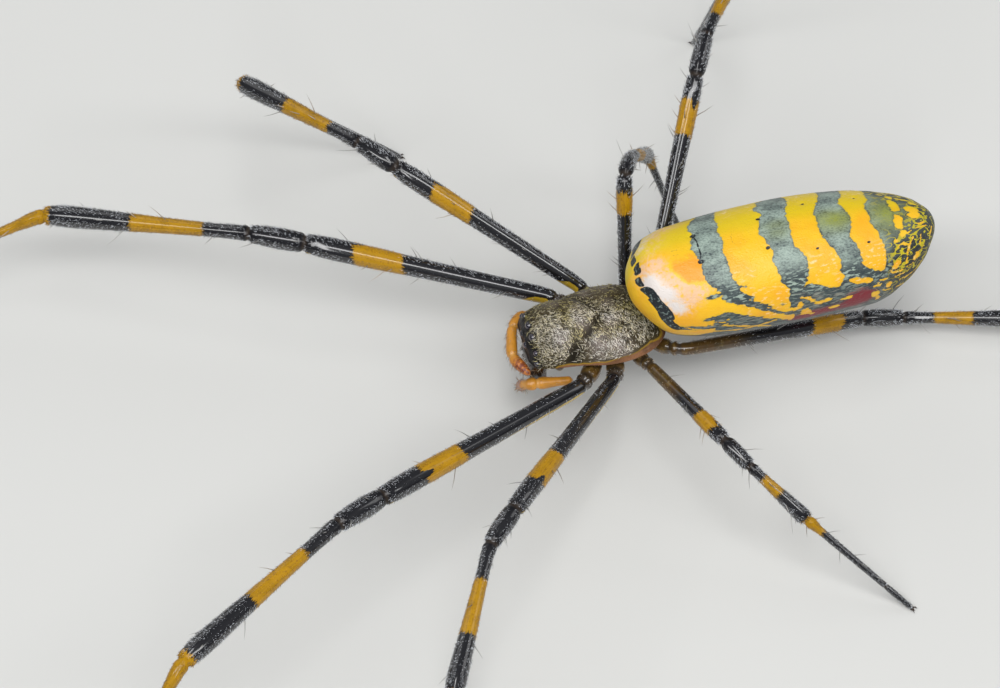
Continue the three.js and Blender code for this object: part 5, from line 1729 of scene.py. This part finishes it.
class SPIDER_OT_stage(bpy.types.Operator):
    """Lays the floor and sets the lights and the camera"""
    bl_idname = "spider.stage"
    bl_label = "Stage"

    FLOOR_RADIUS = 3.0
    SKY = (0.80, 0.83, 0.88, 1)
    SKY_STRENGTH = 0.24
    # Soft boxes as (name, direction from the waist, distance and sides in metres, power in watts, whether
    # the first side stands upright in the picture)
    LIGHTS = [
        ("key_level", KEY_FROM, 0.48, (1.0, 0.10), 2.2, False),
        ("key_upright", KEY_FROM, 0.48, (0.60, 0.08), 1.2, True),
        ("fill", (-0.75, -0.35, 0.55), 0.60, (0.45, 0.45), 0.5, False),
        ("back", (-0.10, 0.85, 0.55), 0.60, (0.30, 0.30), 0.4, False),
    ]

    def execute(self, context):
        clear_selection()
        bpy.ops.mesh.primitive_circle_add(
            vertices=64, radius=self.FLOOR_RADIUS, fill_type="NGON", location=(0, 0, 0))
        floor = bpy.context.object
        floor.name = "floor"
        paint = Finish("floor_paint", Roughness=0.75, Specular_IOR_Level=0.25)
        tone = paint.noise(60, 2.0).step(0.2, 0.8)
        shade = times(colours().floor, 0.97)
        floor.data.materials.append(paint.feed(Base_Color=paint.mix(tone, colours().floor, shade)))
        back = Vector(VIEW_FROM)
        right = Vector(towards(CAMERA_AZIMUTH + 90, 0))
        up = back.cross(right)
        waist = ORIGIN + Vector((0, 0, RIM_Z * MM))
        self.camera(context, waist, right, up, back)
        for name, direction, distance, size, power, upright in self.LIGHTS:
            self.light(name, waist, direction, distance, size, power, up if upright else right)
        world = bpy.data.worlds.new("studio")
        world.use_nodes = True
        background = world.node_tree.nodes["Background"]
        background.inputs["Color"].default_value = self.SKY
        background.inputs["Strength"].default_value = self.SKY_STRENGTH
        context.scene.world = world
        context.scene.view_settings.view_transform = "Standard"
        return {"FINISHED"}

    def camera(self, context, waist, right, up, back):
        """The camera, placed so that the waist lies at its pixel of the picture."""
        across = (PICTURE_WIDTH / 2 - WAIST_PIXEL[0]) / PIXELS_PER_MM * MM
        above = (WAIST_PIXEL[1] - PICTURE_HEIGHT / 2) / PIXELS_PER_MM * MM
        lens = bpy.data.cameras.new("camera")
        lens.sensor_width = SENSOR
        lens.lens = SENSOR * CAMERA_DISTANCE / (PICTURE_WIDTH / PIXELS_PER_MM * MM)
        lens.clip_start, lens.clip_end = 0.01, 10
        camera = bpy.data.objects.new("camera", lens)
        context.scene.collection.objects.link(camera)
        camera.location = waist + right * across + up * above + back * CAMERA_DISTANCE
        camera.rotation_euler = back.to_track_quat("Z", "Y").to_euler()
        context.scene.camera = camera

    def light(self, name, waist, direction, distance, size, power, along):
        """A soft box that faces the waist, with its first side turned towards `along`."""
        lamp = bpy.data.lights.new(name, "AREA")
        lamp.shape = "RECTANGLE"
        lamp.size, lamp.size_y = size
        lamp.energy = power
        holder = bpy.data.objects.new(name, lamp)
        bpy.context.scene.collection.objects.link(holder)
        away = Vector(direction).normalized()
        across = (along - away * along.dot(away)).normalized()
        holder.location = waist + away * distance
        holder.rotation_euler = Matrix((across, away.cross(across), away)).transposed().to_euler()


STEPS = [
    SPIDER_OT_abdomen, SPIDER_OT_carapace, SPIDER_OT_carapace_coat, SPIDER_OT_eyes, SPIDER_OT_mouthparts,
    SPIDER_OT_palps, SPIDER_OT_underside, SPIDER_OT_legs, SPIDER_OT_leg_coat, SPIDER_OT_stage,
]


class SPIDER_PT_sidebar(bpy.types.Panel):
    """Lists the sizes, the colours and the steps"""
    bl_label = "Spider"
    bl_idname = "SPIDER_PT_sidebar"
    bl_space_type = "VIEW_3D"
    bl_region_type = "UI"
    bl_category = "Spider"

    def draw(self, context):
        for group in (context.scene.spider_sizes, context.scene.spider_colours):
            box = self.layout.box()
            for name in group.bl_rna.properties.keys():
                if name not in ("rna_type", "name"):
                    box.prop(group, name)
        for step in STEPS:
            self.layout.operator(step.bl_idname)


CLASSES = [SpiderSizes, SpiderColours, *STEPS, SPIDER_PT_sidebar]


def register():
    for made in CLASSES:
        bpy.utils.register_class(made)
    bpy.types.Scene.spider_sizes = bpy.props.PointerProperty(type=SpiderSizes)
    bpy.types.Scene.spider_colours = bpy.props.PointerProperty(type=SpiderColours)


def unregister():
    del bpy.types.Scene.spider_colours
    del bpy.types.Scene.spider_sizes
    for made in reversed(CLASSES):
        bpy.utils.unregister_class(made)


def main():
    register()
    for step in STEPS:
        group, name = step.bl_idname.split(".")
        getattr(getattr(bpy.ops, group), name)()


if __name__ == "__main__":
    main()
